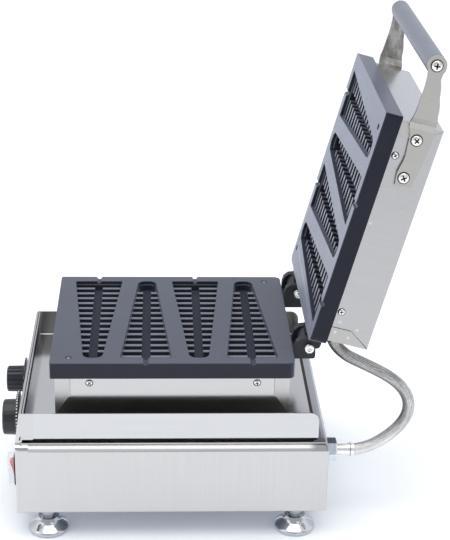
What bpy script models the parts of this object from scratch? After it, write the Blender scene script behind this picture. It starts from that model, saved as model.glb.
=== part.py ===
"""A countertop waffle stick maker with four ribbed, tapered pockets, its lid open at its stop.

Metres, +Z up. +X is the machine's right, where the bolt heads and the hose are, and -Y is
the control panel. Everything is built about the middle of the body, the lid closed. Then the
lid is turned open about the hinge axis, and at the end the whole is moved so that the origin
is on the table under the middle of its bounds, the hose left out.
"""

import math

import bmesh
import bpy
from mathutils import Matrix, Vector

MM = 0.001
FIT = 0.3 * MM
RUNNING_FIT = 0.12 * MM
OVERRUN = 2 * MM
SEAM = 0.5 * MM

# Body
BODY_WIDTH = 292 * MM
BODY_LENGTH = 361.3 * MM
BODY_SETBACK = -0.65 * MM
BODY_HEIGHT = 88.8 * MM
BODY_BEND = 2.6 * MM
LEDGE_BEND = 7.5 * MM
SHEET = 1.2 * MM
LEDGE_WIDTH = 26 * MM
BOTTOM_FLANGE = 10 * MM
RIM_RISE = 38.7 * MM
FRONT_LEAN = 5.7 * MM
FRONT_WRAP = 5 * MM
FRONT_CORNER = 3.6 * MM
FRONT_FLANGE = 2.6 * MM
TRAY_FRONT_GAP = 1 * MM
FRONT_RETURN = 7.8 * MM
VENT_COUNT = 7
VENT_LENGTH = 46 * MM
VENT_WIDTH = 4 * MM
VENT_PITCH = 15 * MM
VENT_ROW_OFFSET = 62 * MM

# Feet
FOOT_HEIGHT = 32.5 * MM
FOOT_RADIUS = 24.3 * MM
FOOT_BELL_HEIGHT = 18 * MM
FOOT_COLLAR_RADIUS = 10 * MM
BELL_SHARES = ((0.14, 1), (0.31, 0.72), (0.63, 0.5), (0.91, 0.33), (1, 0.22), (0.97, 0.08), (0.87, 0))
FOOT_NECK_RADIUS = 7.6 * MM
FOOT_COLLAR_HEIGHT = 3 * MM
FOOT_STUD_RADIUS = 4 * MM
FOOT_NUT_RADIUS = 7 * MM
FOOT_NUT_HEIGHT = 6 * MM
FOOT_SIDE_INSET = 21 * MM
FOOT_END_INSET = 35 * MM

# Deck
RIM_INSET = 6.8 * MM
RIM_REAR_SETBACK = 13 * MM
RIM_CORNER = 10.5 * MM
FLOOR_REAR_SETBACK = 17 * MM
DECK_BEND = 2.4 * MM
GASKET_HEIGHT = 4.6 * MM
GASKET_WIDTH = 5 * MM
GASKET_INSET = 10.2 * MM
PEDESTAL_HEIGHT = 19.2 * MM
PEDESTAL_WIDTH = 190 * MM
PEDESTAL_LENGTH = 224 * MM
WIRE_PASS_RADIUS = 11 * MM

# Cast plates
PLATE_WIDTH = 246.5 * MM
PLATE_LENGTH = 279.5 * MM
PLATE_THICKNESS = 19.5 * MM
PLATE_SETBACK = -1 * MM
PLATE_FRONT_CORNER = 2.5 * MM
PLATE_REAR_CORNER = 8 * MM
PLATE_GAP = 0.3 * MM
SKIRT_WALL = 6 * MM
SKIRT_HEIGHT = 12 * MM
DOWEL_RADIUS = 3.8 * MM
DOWEL_DEPTH = 6 * MM
DOWEL_SIDE_INSET = 15 * MM
DOWEL_END_INSET = 21 * MM

# Pockets
POCKET_COUNT = 4
POCKET_ROW_MARGIN = 17.75 * MM
POCKET_END_MARGIN = 14.25 * MM
POCKET_WIDE = 59.4 * MM
POCKET_NARROW = 22 * MM
POCKET_DEPTH = 12 * MM
POCKET_DRAFT = 1.6 * MM
POCKET_CORNER = 2 * MM
RIB_COUNT = 13
RIB_FIRST = 12.5 * MM
RIB_LAST = 26.7 * MM
RIB_TOP = 5 * MM
RIB_ROOT = 8.6 * MM
RIB_BELOW_FACE = 4.6 * MM
CHANNEL_WIDTH = 10 * MM
STICK_RADIUS = 3.1 * MM

# Heater covers
COVER_SHEET = 1 * MM
COVER_SIDE_INSET = 5 * MM
COVER_END_INSET = 5 * MM
COVER_DEPTH = 48.7 * MM
COVER_BEND = 1.4 * MM
FLAP_WIDTH = 17 * MM
FLAP_STRAIGHT = 23.4 * MM
COVER_SCREW_END = 40 * MM
COVER_SCREW_RISE = 6.2 * MM

# Heating
ELEMENT_RADIUS = 3.3 * MM
ELEMENT_INSET = 35 * MM
ELEMENT_TAIL = 22 * MM
CLAMP_THICKNESS = 3 * MM
CLAMP_WIDTH = 150 * MM
CLAMP_END_CLEARANCE = 5.45 * MM
BOARD_THICKNESS = 20 * MM
BOARD_CLEARANCE = 4 * MM
BULB_RADIUS = 3 * MM
BULB_LENGTH = 90 * MM

# Hinges
LID_OPEN_ANGLE = math.radians(104.7)
HINGE_SETBACK = 17.25 * MM
HINGE_RISE = 8.1 * MM
HINGE_SIDE_INSET = 24.75 * MM
HINGE_WIDTH = 43.5 * MM
EAR_THICKNESS = 10 * MM
EAR_RADIUS = 11.4 * MM
EAR_REACH = 7.6 * MM
EAR_CORNER = 3 * MM
EAR_SHOULDER_SHARES = ((0.02, -0.08), (0.14, 0.5), (0.45, 0.9))
RIGHT_EAR_DROP = 14.6 * MM
LEFT_EAR_DROP = 20 * MM
KNUCKLE_RADIUS = 11 * MM
KNUCKLE_PLAY = 0.8 * MM
ARM_RISE = 3.4 * MM
ARM_CORNER = 5 * MM
WEB_DEPTH = 8 * MM
NOSE_REACH = 7 * MM
HINGE_BOLT_RADIUS = 4 * MM
HINGE_HEAD_RADIUS = 5.4 * MM
HINGE_HEAD_HEIGHT = 4.6 * MM
HINGE_NUT_RADIUS = 7.4 * MM
HINGE_NUT_HEIGHT = 7 * MM

# Handle
STRAP_THICKNESS = 3 * MM
STRAP_JOGGLE = 6 * MM
STRAP_BEND_RUN = 9 * MM
BAR_RADIUS = 11 * MM
BAR_CHAMFER = 0.8 * MM
BAR_FORWARD = 63.5 * MM
BAR_RISE = 15 * MM
STRAP_REACH = 138 * MM
STRAP_WIDTH = 30 * MM
STRAP_END_SLANT = 2 * MM
STRAP_STATION_SHARES = (
    (0.085, 0.055, 0.25),
    (0.19, 0.145, 0.305),
    (0.35, 0.23, 0.40),
    (0.49, 0.275, 0.49),
    (0.61, 0.385, 0.415),
    (0.77, 0.395, 0.355),
    (0.92, 0.31, 0.365),
    (1.0, 0.315, 0.30),
)
STRAP_SCREW_SPACING = 44 * MM
STRAP_SCREW_FRONT = 85 * MM
STRAP_SCREW_RISE = 22.2 * MM
SCREW_HEAD_RADIUS = 5.7 * MM
SCREW_HEAD_HEIGHT = 2.6 * MM
SCREW_SHANK_RADIUS = 3 * MM
STRAP_SCREW_LENGTH = 9 * MM
BAR_SCREW_LENGTH = 16 * MM

# Controls
KNOB_SPACING = 99.7 * MM
KNOB_OFFSET = -3.65 * MM
KNOB_DROP = 15.6 * MM
TIMER_KNOB_RADIUS = 21.2 * MM
TIMER_KNOB_LENGTH = 16.5 * MM
TIMER_SKIRT_RADIUS = 31 * MM
THERMOSTAT_KNOB_RADIUS = 16.3 * MM
THERMOSTAT_KNOB_LENGTH = 20.9 * MM
THERMOSTAT_SKIRT_RADIUS = 26.5 * MM
KNOB_FLUTES = 18
KNOB_FLUTE_DEPTH = 0.9 * MM
SKIRT_THICKNESS = 3 * MM
SKIRT_STANDOFF = 2.3 * MM
SHAFT_RADIUS = 3 * MM
SHAFT_GRIP = 12 * MM
SHAFT_SEAT = 6 * MM
CONTROL_SIZE = 24 * MM
CONTROL_DEPTH = 38 * MM
CONTROL_BEVEL = 2 * MM
LAMP_DROP = 45 * MM
LAMP_RADIUS = 5.5 * MM
LAMP_BEZEL = 7 * MM
LAMP_HEIGHT = 4.5 * MM
LAMP_BODY = 14 * MM

# Switch
SWITCH_SIDE_INSET = 28 * MM
SWITCH_DROP = 43.8 * MM
BEZEL_HEIGHT = 37 * MM
BEZEL_WIDTH = 17 * MM
BEZEL_THICKNESS = 3 * MM
SWITCH_BODY_HEIGHT = 33 * MM
SWITCH_BODY_WIDTH = 13 * MM
SWITCH_BODY_DEPTH = 20 * MM
ROCKER_HEIGHT = 26 * MM
ROCKER_WIDTH = 9.6 * MM
ROCKER_THROW = math.radians(13)
ROCKER_CREST = 4.4 * MM
ROCKER_DISH = 1 * MM
ROCKER_PIVOT_DEPTH = 3 * MM
ROCKER_DEPTH = 6 * MM
ROCKER_PLAY = 0.7 * MM
ROCKER_PIN_RADIUS = 1.1 * MM
BOOT_DEPTH = 7.5 * MM
BOOT_WALL = 0.8 * MM
BOOT_INSET = 0.6 * MM
BOOT_BEND = 2 * MM

# Hose, gland and terminal block
HOSE_RADIUS = 7.1 * MM
HOSE_SIDE_INSET = 46 * MM
HOSE_EXIT_DROP = 31 * MM
NUT_ACROSS_FLATS = 24 * MM
NUT_THICKNESS = 13.4 * MM
NUT_CHAMFER = 1 * MM
FERRULE_RADIUS = 7.3 * MM
FERRULE_RING_RADIUS = 8.1 * MM
FERRULE_GROOVE = 0.8 * MM
FERRULE_LENGTH = 13.2 * MM
FERRULE_RING = 3.2 * MM
SLEEVE_RADIUS = 7.7 * MM
SLEEVE_LENGTH = 4 * MM
GLAND_THREAD_RADIUS = 8 * MM
GLAND_THREAD_LENGTH = 9 * MM
BOOT_SOCKET_RADIUS = 8.1 * MM
BOOT_SOCKET_LENGTH = 3.4 * MM
BOOT_SOCKET_TILT = math.radians(24)
BOOT_SOCKET_RISE = 9.1 * MM
CABLE_GLAND_RADIUS = 9.5 * MM
CABLE_GLAND_LENGTH = 12 * MM
CABLE_BORE_RADIUS = 4 * MM
CABLE_GLAND_DROP = 73.3 * MM
TERMINAL_LENGTH = 70 * MM
TERMINAL_WIDTH = 24 * MM
TERMINAL_HEIGHT = 20 * MM
TERMINAL_SETBACK = 60 * MM

# The hose's route from its ferrule to the lid, as (rearward, up) from the wall and the table
HOSE_ROUTE = (
    (47.9, 93.2),
    (56.6, 96.5),
    (64.9, 101.8),
    (76.4, 110.8),
    (87.9, 123.2),
    (94.8, 135.6),
    (96.7, 149.3),
    (93.7, 162.1),
    (85.4, 174.7),
    (75.6, 183.3),
    (65.5, 190.2),
    (56.5, 195.4),
    (45.9, 200.9),
    (36.6, 205.6),
    (28.2, 209.9),
    (20.0, 214.2),
    (13.1, 220.4),
    (7.4, 225.9),
)
HOSE_STEPS = 18

# Places worked out from the sizes above
UNDERSIDE_Z = FOOT_HEIGHT
LEDGE_Z = UNDERSIDE_Z + BODY_HEIGHT
RIM_Z = LEDGE_Z + RIM_RISE
SIDE_X = BODY_WIDTH / 2
FRONT_Y = BODY_SETBACK - BODY_LENGTH / 2
REAR_Y = BODY_SETBACK + BODY_LENGTH / 2
RIM_X = SIDE_X - RIM_INSET
DECK_UNDER_Z = LEDGE_Z + FIT + GASKET_HEIGHT + FIT
DECK_Z = DECK_UNDER_Z + SHEET
PEDESTAL_Z = DECK_Z + FIT
LOWER_COVER_Z = PEDESTAL_Z + PEDESTAL_HEIGHT + FIT
LOWER_BACK_Z = LOWER_COVER_Z + COVER_DEPTH + FIT
FACE_Z = LOWER_BACK_Z + PLATE_THICKNESS
UPPER_FACE_Z = FACE_Z + PLATE_GAP
UPPER_BACK_Z = UPPER_FACE_Z + PLATE_THICKNESS
PLATE_X = PLATE_WIDTH / 2
PLATE_FRONT_Y = PLATE_SETBACK - PLATE_LENGTH / 2
PLATE_REAR_Y = PLATE_SETBACK + PLATE_LENGTH / 2
POCKET_LENGTH = PLATE_WIDTH - 2 * POCKET_END_MARGIN
POCKET_PITCH = (PLATE_LENGTH - 2 * POCKET_ROW_MARGIN) / POCKET_COUNT
RIB_PITCH = (POCKET_LENGTH - RIB_FIRST - RIB_LAST) / (RIB_COUNT - 1)
ELEMENT_REACH = POCKET_LENGTH / 2 - ELEMENT_INSET
COVER_X = PLATE_X - COVER_SIDE_INSET
COVER_FRONT_Y = PLATE_FRONT_Y + COVER_END_INSET
COVER_REAR_Y = PLATE_REAR_Y - COVER_END_INSET
HINGE_OUTER = PLATE_X - HINGE_SIDE_INSET
HINGE_INNER = HINGE_OUTER - HINGE_WIDTH
HINGE_Y = PLATE_REAR_Y + HINGE_SETBACK
HINGE_Z = FACE_Z + HINGE_RISE
KNOB_Z = LEDGE_Z - KNOB_DROP
TIMER_X = KNOB_OFFSET + KNOB_SPACING / 2
THERMOSTAT_X = KNOB_OFFSET - KNOB_SPACING / 2
BAR_Y = PLATE_FRONT_Y - BAR_FORWARD
BAR_Z = UPPER_BACK_Z + BAR_RISE
HOSE_X = SIDE_X - HOSE_SIDE_INSET
HOSE_Z = LEDGE_Z - HOSE_EXIT_DROP


# Scene and materials


def clear_scene():
    for obj in list(bpy.data.objects):
        bpy.data.objects.remove(obj, do_unlink=True)


def collection(name):
    made = bpy.data.collections.new(name)
    bpy.context.scene.collection.children.link(made)
    return made


def material(name, colour, roughness, metallic=0.0, alpha=1.0):
    made = bpy.data.materials.new(name)
    made.use_nodes = True
    shader = made.node_tree.nodes["Principled BSDF"]
    shader.inputs["Base Color"].default_value = (*colour, 1)
    shader.inputs["Roughness"].default_value = roughness
    shader.inputs["Metallic"].default_value = metallic
    shader.inputs["Alpha"].default_value = alpha
    made.diffuse_color = (*colour, alpha)
    return made


clear_scene()
PARTS = collection("waffle_stick_maker")
CUTTERS = collection("cutters")
STEEL = material("brushed_stainless", (0.62, 0.62, 0.63), 0.3, 1.0)
CHROME = material("chrome_plate", (0.75, 0.76, 0.78), 0.08, 1.0)
CASTING = material("coated_casting", (0.09, 0.1, 0.13), 0.45)
BLACK_IRON = material("black_iron", (0.02, 0.02, 0.025), 0.5)
BAR_GREY = material("satin_grey_bar", (0.3, 0.33, 0.4), 0.45)
BLACK_PLASTIC = material("black_plastic", (0.02, 0.02, 0.022), 0.35)
RED_PLASTIC = material("red_plastic", (0.75, 0.06, 0.07), 0.3)
CLEAR_PLASTIC = material("clear_boot", (0.9, 0.92, 0.95), 0.15, 0.0, 0.35)
GREEN_LENS = material("green_lens", (0.05, 0.6, 0.15), 0.2)
AMBER_LENS = material("amber_lens", (0.9, 0.4, 0.03), 0.2)
RUBBER = material("black_rubber", (0.015, 0.015, 0.015), 0.8)
BRAID = material("steel_braid", (0.6, 0.6, 0.6), 0.35, 1.0)
BOARD = material("ceramic_board", (0.8, 0.77, 0.7), 0.9)
NYLON = material("white_nylon", (0.75, 0.75, 0.72), 0.5)


# Shapes


def object_of(name, mesh, home=PARTS):
    made = bpy.data.objects.new(name, mesh)
    home.objects.link(made)
    return made


def object_from(bm, name, home=PARTS):
    bmesh.ops.recalc_face_normals(bm, faces=bm.faces)
    mesh = bpy.data.meshes.new(name)
    bm.to_mesh(mesh)
    bm.free()
    return object_of(name, mesh, home)


def placed_cube(bm, low, high):
    """A cube primitive stretched between two corners, and its new vertices."""
    low, high = Vector(low), Vector(high)
    size = high - low
    matrix = Matrix.Translation((low + high) / 2) @ Matrix.Diagonal((*size, 1))
    return bmesh.ops.create_cube(bm, size=1, matrix=matrix)["verts"]


def box(name, low, high, bevel=0.0, segments=2, home=PARTS):
    bm = bmesh.new()
    placed_cube(bm, low, high)
    if bevel:
        bmesh.ops.bevel(
            bm, geom=bm.edges, offset=bevel, segments=segments, profile=0.5, affect="EDGES"
        )
    return object_from(bm, name, home)


def rounded(corners, segments=4):
    """An outline's points, each (u, v) corner kept sharp and each (u, v, radius) one an arc."""
    points = []
    for index, corner in enumerate(corners):
        here = Vector(corner[:2])
        radius = corner[2] if len(corner) > 2 else 0
        if not radius:
            points.append(here)
            continue
        back = (Vector(corners[index - 1][:2]) - here).normalized()
        ahead = (Vector(corners[(index + 1) % len(corners)][:2]) - here).normalized()
        half = back.angle(ahead) / 2
        centre = here + (back + ahead).normalized() * (radius / math.sin(half))
        start = here + back * (radius / math.tan(half)) - centre
        sweep = start.angle_signed(here + ahead * (radius / math.tan(half)) - centre)
        for step in range(segments + 1):
            turn = Matrix.Rotation(-sweep * step / segments, 2)
            points.append(centre + turn @ start)
    return points


def circle(centre, radius, sides=24):
    """The points of a circle, as an outline or a hole."""
    turns = (2 * math.pi * step / sides for step in range(sides))
    return [Vector(centre) + radius * Vector((math.cos(t), math.sin(t))) for t in turns]


AXES = {
    "X": Matrix(((0, 0, 1), (1, 0, 0), (0, 1, 0))),
    "Y": Matrix(((1, 0, 0), (0, 0, -1), (0, 1, 0))),
    "Z": Matrix.Identity(3),
}


def prism(name, outline, axis, low, high, holes=(), home=PARTS):
    """A flat outline given in the two other axes, in X, Y, Z order, and made thick along axis."""
    curve = bpy.data.curves.new(name, "CURVE")
    curve.dimensions = "2D"
    curve.fill_mode = "BOTH"
    curve.extrude = (high - low) / 2
    for ring in (outline, *holes):
        spline = curve.splines.new("POLY")
        spline.points.add(len(ring) - 1)
        spline.use_cyclic_u = True
        for point, place in zip(spline.points, ring):
            point.co = (*place, 0, 1)
    flat = object_of(name, curve, home)
    middle = (low + high) / 2
    shift = Vector([middle if letter == axis else 0 for letter in "XYZ"])
    flat.matrix_world = Matrix.Translation(shift) @ AXES[axis].to_4x4()
    return as_mesh(flat, home)


def as_mesh(source, home=PARTS):
    """The evaluated shape of a curve, welded, in place of it."""
    bpy.context.view_layer.update()
    name, matrix = source.name, source.matrix_world.copy()
    graph = bpy.context.evaluated_depsgraph_get()
    mesh = bpy.data.meshes.new_from_object(source.evaluated_get(graph))
    bpy.data.objects.remove(source, do_unlink=True)
    bm = bmesh.new()
    bm.from_mesh(mesh)
    bpy.data.meshes.remove(mesh)
    bmesh.ops.remove_doubles(bm, verts=bm.verts, dist=MM * MM)
    bmesh.ops.transform(bm, matrix=matrix, verts=bm.verts)
    return object_from(bm, name, home)


def turned(name, profile, place, axis="Z", steps=24, home=PARTS):
    """A profile of (radius, height) points, from the top down, turned about an axis."""
    mesh = bpy.data.meshes.new(name)
    count = len(profile)
    edges = [(step, step + 1) for step in range(count - 1)]
    mesh.from_pydata([(radius, 0, height) for radius, height in profile], edges, [])
    made = object_of(name, mesh, home)
    screw = made.modifiers.new("turn", "SCREW")
    screw.steps = screw.render_steps = steps
    screw.use_merge_vertices = True
    screw.merge_threshold = MM * MM
    made.location = place
    turns = {"Z": (0, 0, 0), "-Y": (math.pi / 2, 0, 0), "Y": (-math.pi / 2, 0, 0)}
    turns |= {"X": (0, math.pi / 2, 0), "-X": (0, -math.pi / 2, 0)}
    made.rotation_euler = turns[axis]
    return made


def rod(name, radius, place, length, axis="Z", steps=24, home=PARTS):
    """A plain round bar that starts at place and runs along axis."""
    profile = [(0, length), (radius, length), (radius, 0), (0, 0)]
    return turned(name, profile, place, axis, steps, home)


def loft(name, rings, home=PARTS):
    """A solid through rings that have as many points each, closed at both ends."""
    bm = bmesh.new()
    loops = [[bm.verts.new(point) for point in ring] for ring in rings]
    count = len(loops[0])
    for one, two in zip(loops, loops[1:]):
        for index in range(count):
            after = (index + 1) % count
            bm.faces.new((one[index], one[after], two[after], two[index]))
    bm.faces.new(loops[0])
    bm.faces.new(loops[-1])
    return object_from(bm, name, home)


def combine(target, operand, operation):
    """A Boolean with an operand that is then hidden among the cutters."""
    for home in list(operand.users_collection):
        home.objects.unlink(operand)
    CUTTERS.objects.link(operand)
    operand.hide_render = True
    operand.display_type = "WIRE"
    modifier = target.modifiers.new(operand.name, "BOOLEAN")
    modifier.operation = operation
    modifier.solver = "EXACT"
    modifier.object = operand
    return target


def cut(target, *operands):
    for operand in operands:
        combine(target, operand, "DIFFERENCE")
    return target


def join(target, *operands):
    for operand in operands:
        combine(target, operand, "UNION")
    return target


def finish(made, look):
    """Gives a piece its material and smooth shading up to a sharp edge."""
    made.data.materials.clear()
    made.data.materials.append(look)
    if made.type == "MESH":
        made.data.shade_smooth()
        made.data.set_sharp_from_angle(angle=math.radians(32))
    return made


def mirrored_places(x, y):
    """The four places of a corner pattern, each with a name for its corner."""
    for side, side_name in ((-1, "left"), (1, "right")):
        for end, end_name in ((-1, "front"), (1, "rear")):
            yield f"{end_name}_{side_name}", side * x, end * y


# Body


def folded_shell(name, low, high, open_normals, insets, sheet, bend, top_bend=None, home=PARTS):
    """A box of sheet metal: faces left out, or opened to a flange, then bent edges and a wall."""
    top_bend = top_bend or bend
    bm = bmesh.new()
    placed_cube(bm, low, high)
    bmesh.ops.recalc_face_normals(bm, faces=bm.faces)
    for normal, width in insets:
        face = next(f for f in bm.faces if f.normal.dot(Vector(normal)) > 0.9)
        bmesh.ops.inset_individual(bm, faces=[face], thickness=width, use_even_offset=True)
        bmesh.ops.delete(bm, geom=[face], context="FACES_ONLY")
    lost = [f for f in bm.faces for n in open_normals if f.normal.dot(Vector(n)) > 0.9]
    bmesh.ops.delete(bm, geom=lost, context="FACES")
    weight = bm.edges.layers.float.new("bevel_weight_edge")
    for edge in bm.edges:
        if len(edge.link_faces) == 2 and edge.calc_face_angle(0) > 1:
            on_top = all(vert.co.z > high[2] - FIT for vert in edge.verts)
            edge[weight] = 1 if on_top else bend / top_bend
    made = object_from(bm, name, home)
    bends = made.modifiers.new("bends", "BEVEL")
    bends.limit_method = "WEIGHT"
    bends.width = top_bend
    bends.segments = 3
    wall = made.modifiers.new("wall", "SOLIDIFY")
    wall.thickness = sheet
    wall.offset = -1
    wall.use_even_offset = True
    return made


def body_shell():
    shell = folded_shell(
        "body_shell",
        (-SIDE_X, FRONT_Y + FRONT_WRAP + FIT, UNDERSIDE_Z),
        (SIDE_X, REAR_Y, LEDGE_Z),
        [(0, -1, 0)],
        [((0, 0, 1), LEDGE_WIDTH), ((0, 0, -1), BOTTOM_FLANGE)],
        SHEET,
        BODY_BEND,
        LEDGE_BEND,
    )
    inside = REAR_Y - SHEET - OVERRUN
    through = SHEET + 2 * OVERRUN
    hose_hole = rod(
        "hose_hole", GLAND_THREAD_RADIUS + FIT, (HOSE_X, inside, HOSE_Z), through, "Y"
    )
    cable_hole = rod(
        "cable_hole", GLAND_THREAD_RADIUS + FIT, (-HOSE_X, inside, cable_gland_z()), through, "Y"
    )
    return finish(cut(shell, hose_hole, cable_hole), STEEL)


def lean_y(z):
    """The outer face of the front panel at a height."""
    return FRONT_Y + FRONT_LEAN * max(0, z - LEDGE_Z) / RIM_RISE


def front_ring(z, rear_y):
    """The upper panel's plan at a height: the face, two rounded corners and the returns to rear_y."""
    inner = RIM_X - SHEET
    face = lean_y(z)
    bend = FRONT_CORNER - SHEET
    plan = rounded(
        [
            (-RIM_X, rear_y),
            (-RIM_X, face, FRONT_CORNER),
            (RIM_X, face, FRONT_CORNER),
            (RIM_X, rear_y),
            (inner, rear_y),
            (inner, face + SHEET, bend),
            (-inner, face + SHEET, bend),
            (-inner, rear_y),
        ]
    )
    return [(u, v, z) for u, v in plan]


def lower_block(name, inset, low_z, rear_y):
    """The lower panel's outside, or its hollow when drawn in: round front corners and top edges."""
    x = SIDE_X - inset
    face = FRONT_Y + inset
    corner = FRONT_CORNER - inset
    plan = rounded([(-x, rear_y), (-x, face, corner), (x, face, corner), (x, rear_y)])
    top = LEDGE_Z - inset
    block = prism(name, plan, "Z", low_z, top)
    bend = LEDGE_BEND - inset
    below = low_z - OVERRUN
    view = rounded([(-x, below), (-x, top, bend), (x, top, bend), (x, below)])
    return combine(block, prism(f"{name}_view", view, "Y", face - OVERRUN, rear_y + OVERRUN), "INTERSECT")


def front_panel():
    """An upright pan below, and above its shoulder a leaning face that is flush with the tray's rims."""
    wrap = FRONT_Y + FRONT_WRAP
    panel = lower_block("front_panel", 0, UNDERSIDE_Z, wrap)
    cut(panel, lower_block("front_hollow", SHEET, UNDERSIDE_Z - OVERRUN, wrap + OVERRUN))
    low = LEDGE_Z + FIT
    rings = [
        front_ring(LEDGE_Z - SHEET / 2, wrap - SEAM),
        front_ring(low, wrap - SEAM),
        front_ring(low + FIT, lean_y(low) + FRONT_RETURN),
        front_ring(RIM_Z, lean_y(RIM_Z) + FRONT_RETURN),
    ]
    join(panel, loft("front_upper", rings))
    top = lean_y(RIM_Z)
    low = (SEAM - RIM_X, top + SEAM, RIM_Z - SHEET - FIT)
    high = (RIM_X - SEAM, top + FRONT_FLANGE, RIM_Z - FIT)
    join(panel, box("front_flange", low, high))
    return finish(cut(panel, *front_holes()), STEEL)


def front_holes():
    """Cutters for the shafts, the lamps and the rocker switch."""
    start = FRONT_Y + SHEET + OVERRUN
    depth = SHEET + 2 * OVERRUN
    for name, x in (("timer", TIMER_X), ("thermostat", THERMOSTAT_X)):
        place = (x, start, KNOB_Z)
        yield rod(f"{name}_shaft_hole", SHAFT_RADIUS + 2 * FIT, place, depth, "-Y", 16)
        place = (x, start, KNOB_Z - LAMP_DROP)
        yield rod(f"{name}_lamp_hole", LAMP_RADIUS + FIT, place, depth, "-Y")
    x, z = switch_place()
    half = Vector((SWITCH_BODY_WIDTH / 2 + FIT, 0, SWITCH_BODY_HEIGHT / 2 + FIT))
    low = Vector((x, FRONT_Y - OVERRUN, z)) - half
    yield box("switch_hole", low, Vector((x, start, z)) + half)


def bottom_plate():
    inset = SHEET + BODY_BEND
    low_z = UNDERSIDE_Z + SHEET + FIT
    outline = rounded(
        [
            (-SIDE_X + inset, FRONT_Y + FRONT_WRAP + BODY_BEND, BODY_BEND),
            (SIDE_X - inset, FRONT_Y + FRONT_WRAP + BODY_BEND, BODY_BEND),
            (SIDE_X - inset, REAR_Y - inset, 3 * BODY_BEND),
            (-SIDE_X + inset, REAR_Y - inset, 3 * BODY_BEND),
        ]
    )
    holes = [circle((x, y), FOOT_STUD_RADIUS + FIT, 16) for _, x, y in foot_places()]
    for index in range(VENT_COUNT):
        x = (index - (VENT_COUNT - 1) / 2) * VENT_PITCH
        for sign in (-1, 1):
            holes.append(slot_outline(x, sign * VENT_ROW_OFFSET))
    plate = prism("bottom_plate", outline, "Z", low_z, low_z + SHEET, holes)
    return finish(plate, STEEL)


def slot_outline(x, y):
    """A round-ended ventilation slot."""
    half_width, half_length = VENT_WIDTH / 2, VENT_LENGTH / 2
    round_end = half_width - FIT
    return rounded(
        [
            (x - half_width, y - half_length, round_end),
            (x + half_width, y - half_length, round_end),
            (x + half_width, y + half_length, round_end),
            (x - half_width, y + half_length, round_end),
        ],
        2,
    )


# Feet


def foot_places():
    for name, x, y in mirrored_places(SIDE_X - FOOT_SIDE_INSET, BODY_LENGTH / 2 - FOOT_END_INSET):
        yield name, x, BODY_SETBACK + y


def foot(name, x, y):
    """A hollow-looking bell on a collar, with the stud and nut that hold it to the bottom plate."""
    seat = UNDERSIDE_Z + SHEET
    nut = seat + FIT + SHEET + FIT
    flare = FOOT_RADIUS - FOOT_COLLAR_RADIUS
    bell = [
        (FOOT_COLLAR_RADIUS + flare * flare_share, FOOT_BELL_HEIGHT * height_share)
        for flare_share, height_share in BELL_SHARES
    ]
    collar_top = FOOT_BELL_HEIGHT + FOOT_COLLAR_HEIGHT
    profile = [
        (0, nut + FOOT_NUT_HEIGHT),
        (FOOT_NUT_RADIUS, nut + FOOT_NUT_HEIGHT),
        (FOOT_NUT_RADIUS, nut),
        (FOOT_STUD_RADIUS, nut),
        (FOOT_STUD_RADIUS, seat),
        (FOOT_COLLAR_RADIUS, seat),
        (FOOT_COLLAR_RADIUS, collar_top),
        (FOOT_NECK_RADIUS, collar_top - BAR_CHAMFER),
        (FOOT_NECK_RADIUS, FOOT_BELL_HEIGHT + BAR_CHAMFER),
        *bell,
        (0, 0),
    ]
    return finish(turned(f"foot_{name}", profile, (x, y, 0), "Z", 24), CHROME)


# Deck


def deck_gasket():
    outer_x = RIM_X - GASKET_INSET
    front = FRONT_Y + FRONT_WRAP + GASKET_INSET
    rear = REAR_Y - RIM_REAR_SETBACK
    outer = [(-outer_x, front), (outer_x, front), (outer_x, rear), (-outer_x, rear)]
    wide = GASKET_WIDTH
    hole = [
        (-outer_x + wide, front + wide),
        (outer_x - wide, front + wide),
        (outer_x - wide, rear - wide),
        (-outer_x + wide, rear - wide),
    ]
    low = LEDGE_Z + FIT
    return finish(prism("deck_gasket", outer, "Z", low, low + GASKET_HEIGHT, [hole]), RUBBER)


def deck_tray():
    """A floor bent up into two side rims, with round rear corners and a leaning front end."""
    inner = RIM_X - SHEET
    bend = DECK_BEND - SHEET
    section = rounded(
        [
            (-RIM_X, RIM_Z),
            (-RIM_X, DECK_UNDER_Z, DECK_BEND),
            (RIM_X, DECK_UNDER_Z, DECK_BEND),
            (RIM_X, RIM_Z),
            (inner, RIM_Z),
            (inner, DECK_Z, bend),
            (-inner, DECK_Z, bend),
            (-inner, RIM_Z),
        ]
    )
    front = lean_y(DECK_UNDER_Z) + FRONT_RETURN + FIT
    tray = prism("deck_tray", section, "Y", front - OVERRUN, REAR_Y)
    rear = REAR_Y - RIM_REAR_SETBACK
    below = DECK_UNDER_Z - OVERRUN
    side = rounded(
        [
            (front, below),
            (rear, below),
            (rear, RIM_Z, RIM_CORNER),
            (lean_y(RIM_Z) + FRONT_RETURN + FIT, RIM_Z),
        ]
    )
    span = RIM_X + OVERRUN
    combine(tray, prism("deck_side_view", side, "X", -span, span), "INTERSECT")
    wires = rod("deck_wire_hole", WIRE_PASS_RADIUS, (0, 0, below), 3 * OVERRUN)
    wide = RIM_X - DECK_BEND
    slot = box(
        "deck_rear_slot",
        (-wide, REAR_Y - FLOOR_REAR_SETBACK, below),
        (wide, REAR_Y, DECK_Z + OVERRUN),
    )
    cut(tray, wires, slot)
    back = front + FRONT_RETURN
    low = lean_y(DECK_UNDER_Z) + FRONT_FLANGE + TRAY_FRONT_GAP
    high = lean_y(RIM_Z) + FRONT_FLANGE + TRAY_FRONT_GAP
    outline = [
        (low, DECK_UNDER_Z),
        (high, RIM_Z),
        (high + SHEET, RIM_Z),
        (low + SHEET, DECK_Z),
        (back, DECK_Z),
        (back, DECK_UNDER_Z),
    ]
    half = RIM_X - SHEET - FIT
    return finish(join(tray, prism("deck_front_wall", outline, "X", -half, half)), STEEL)


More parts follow.
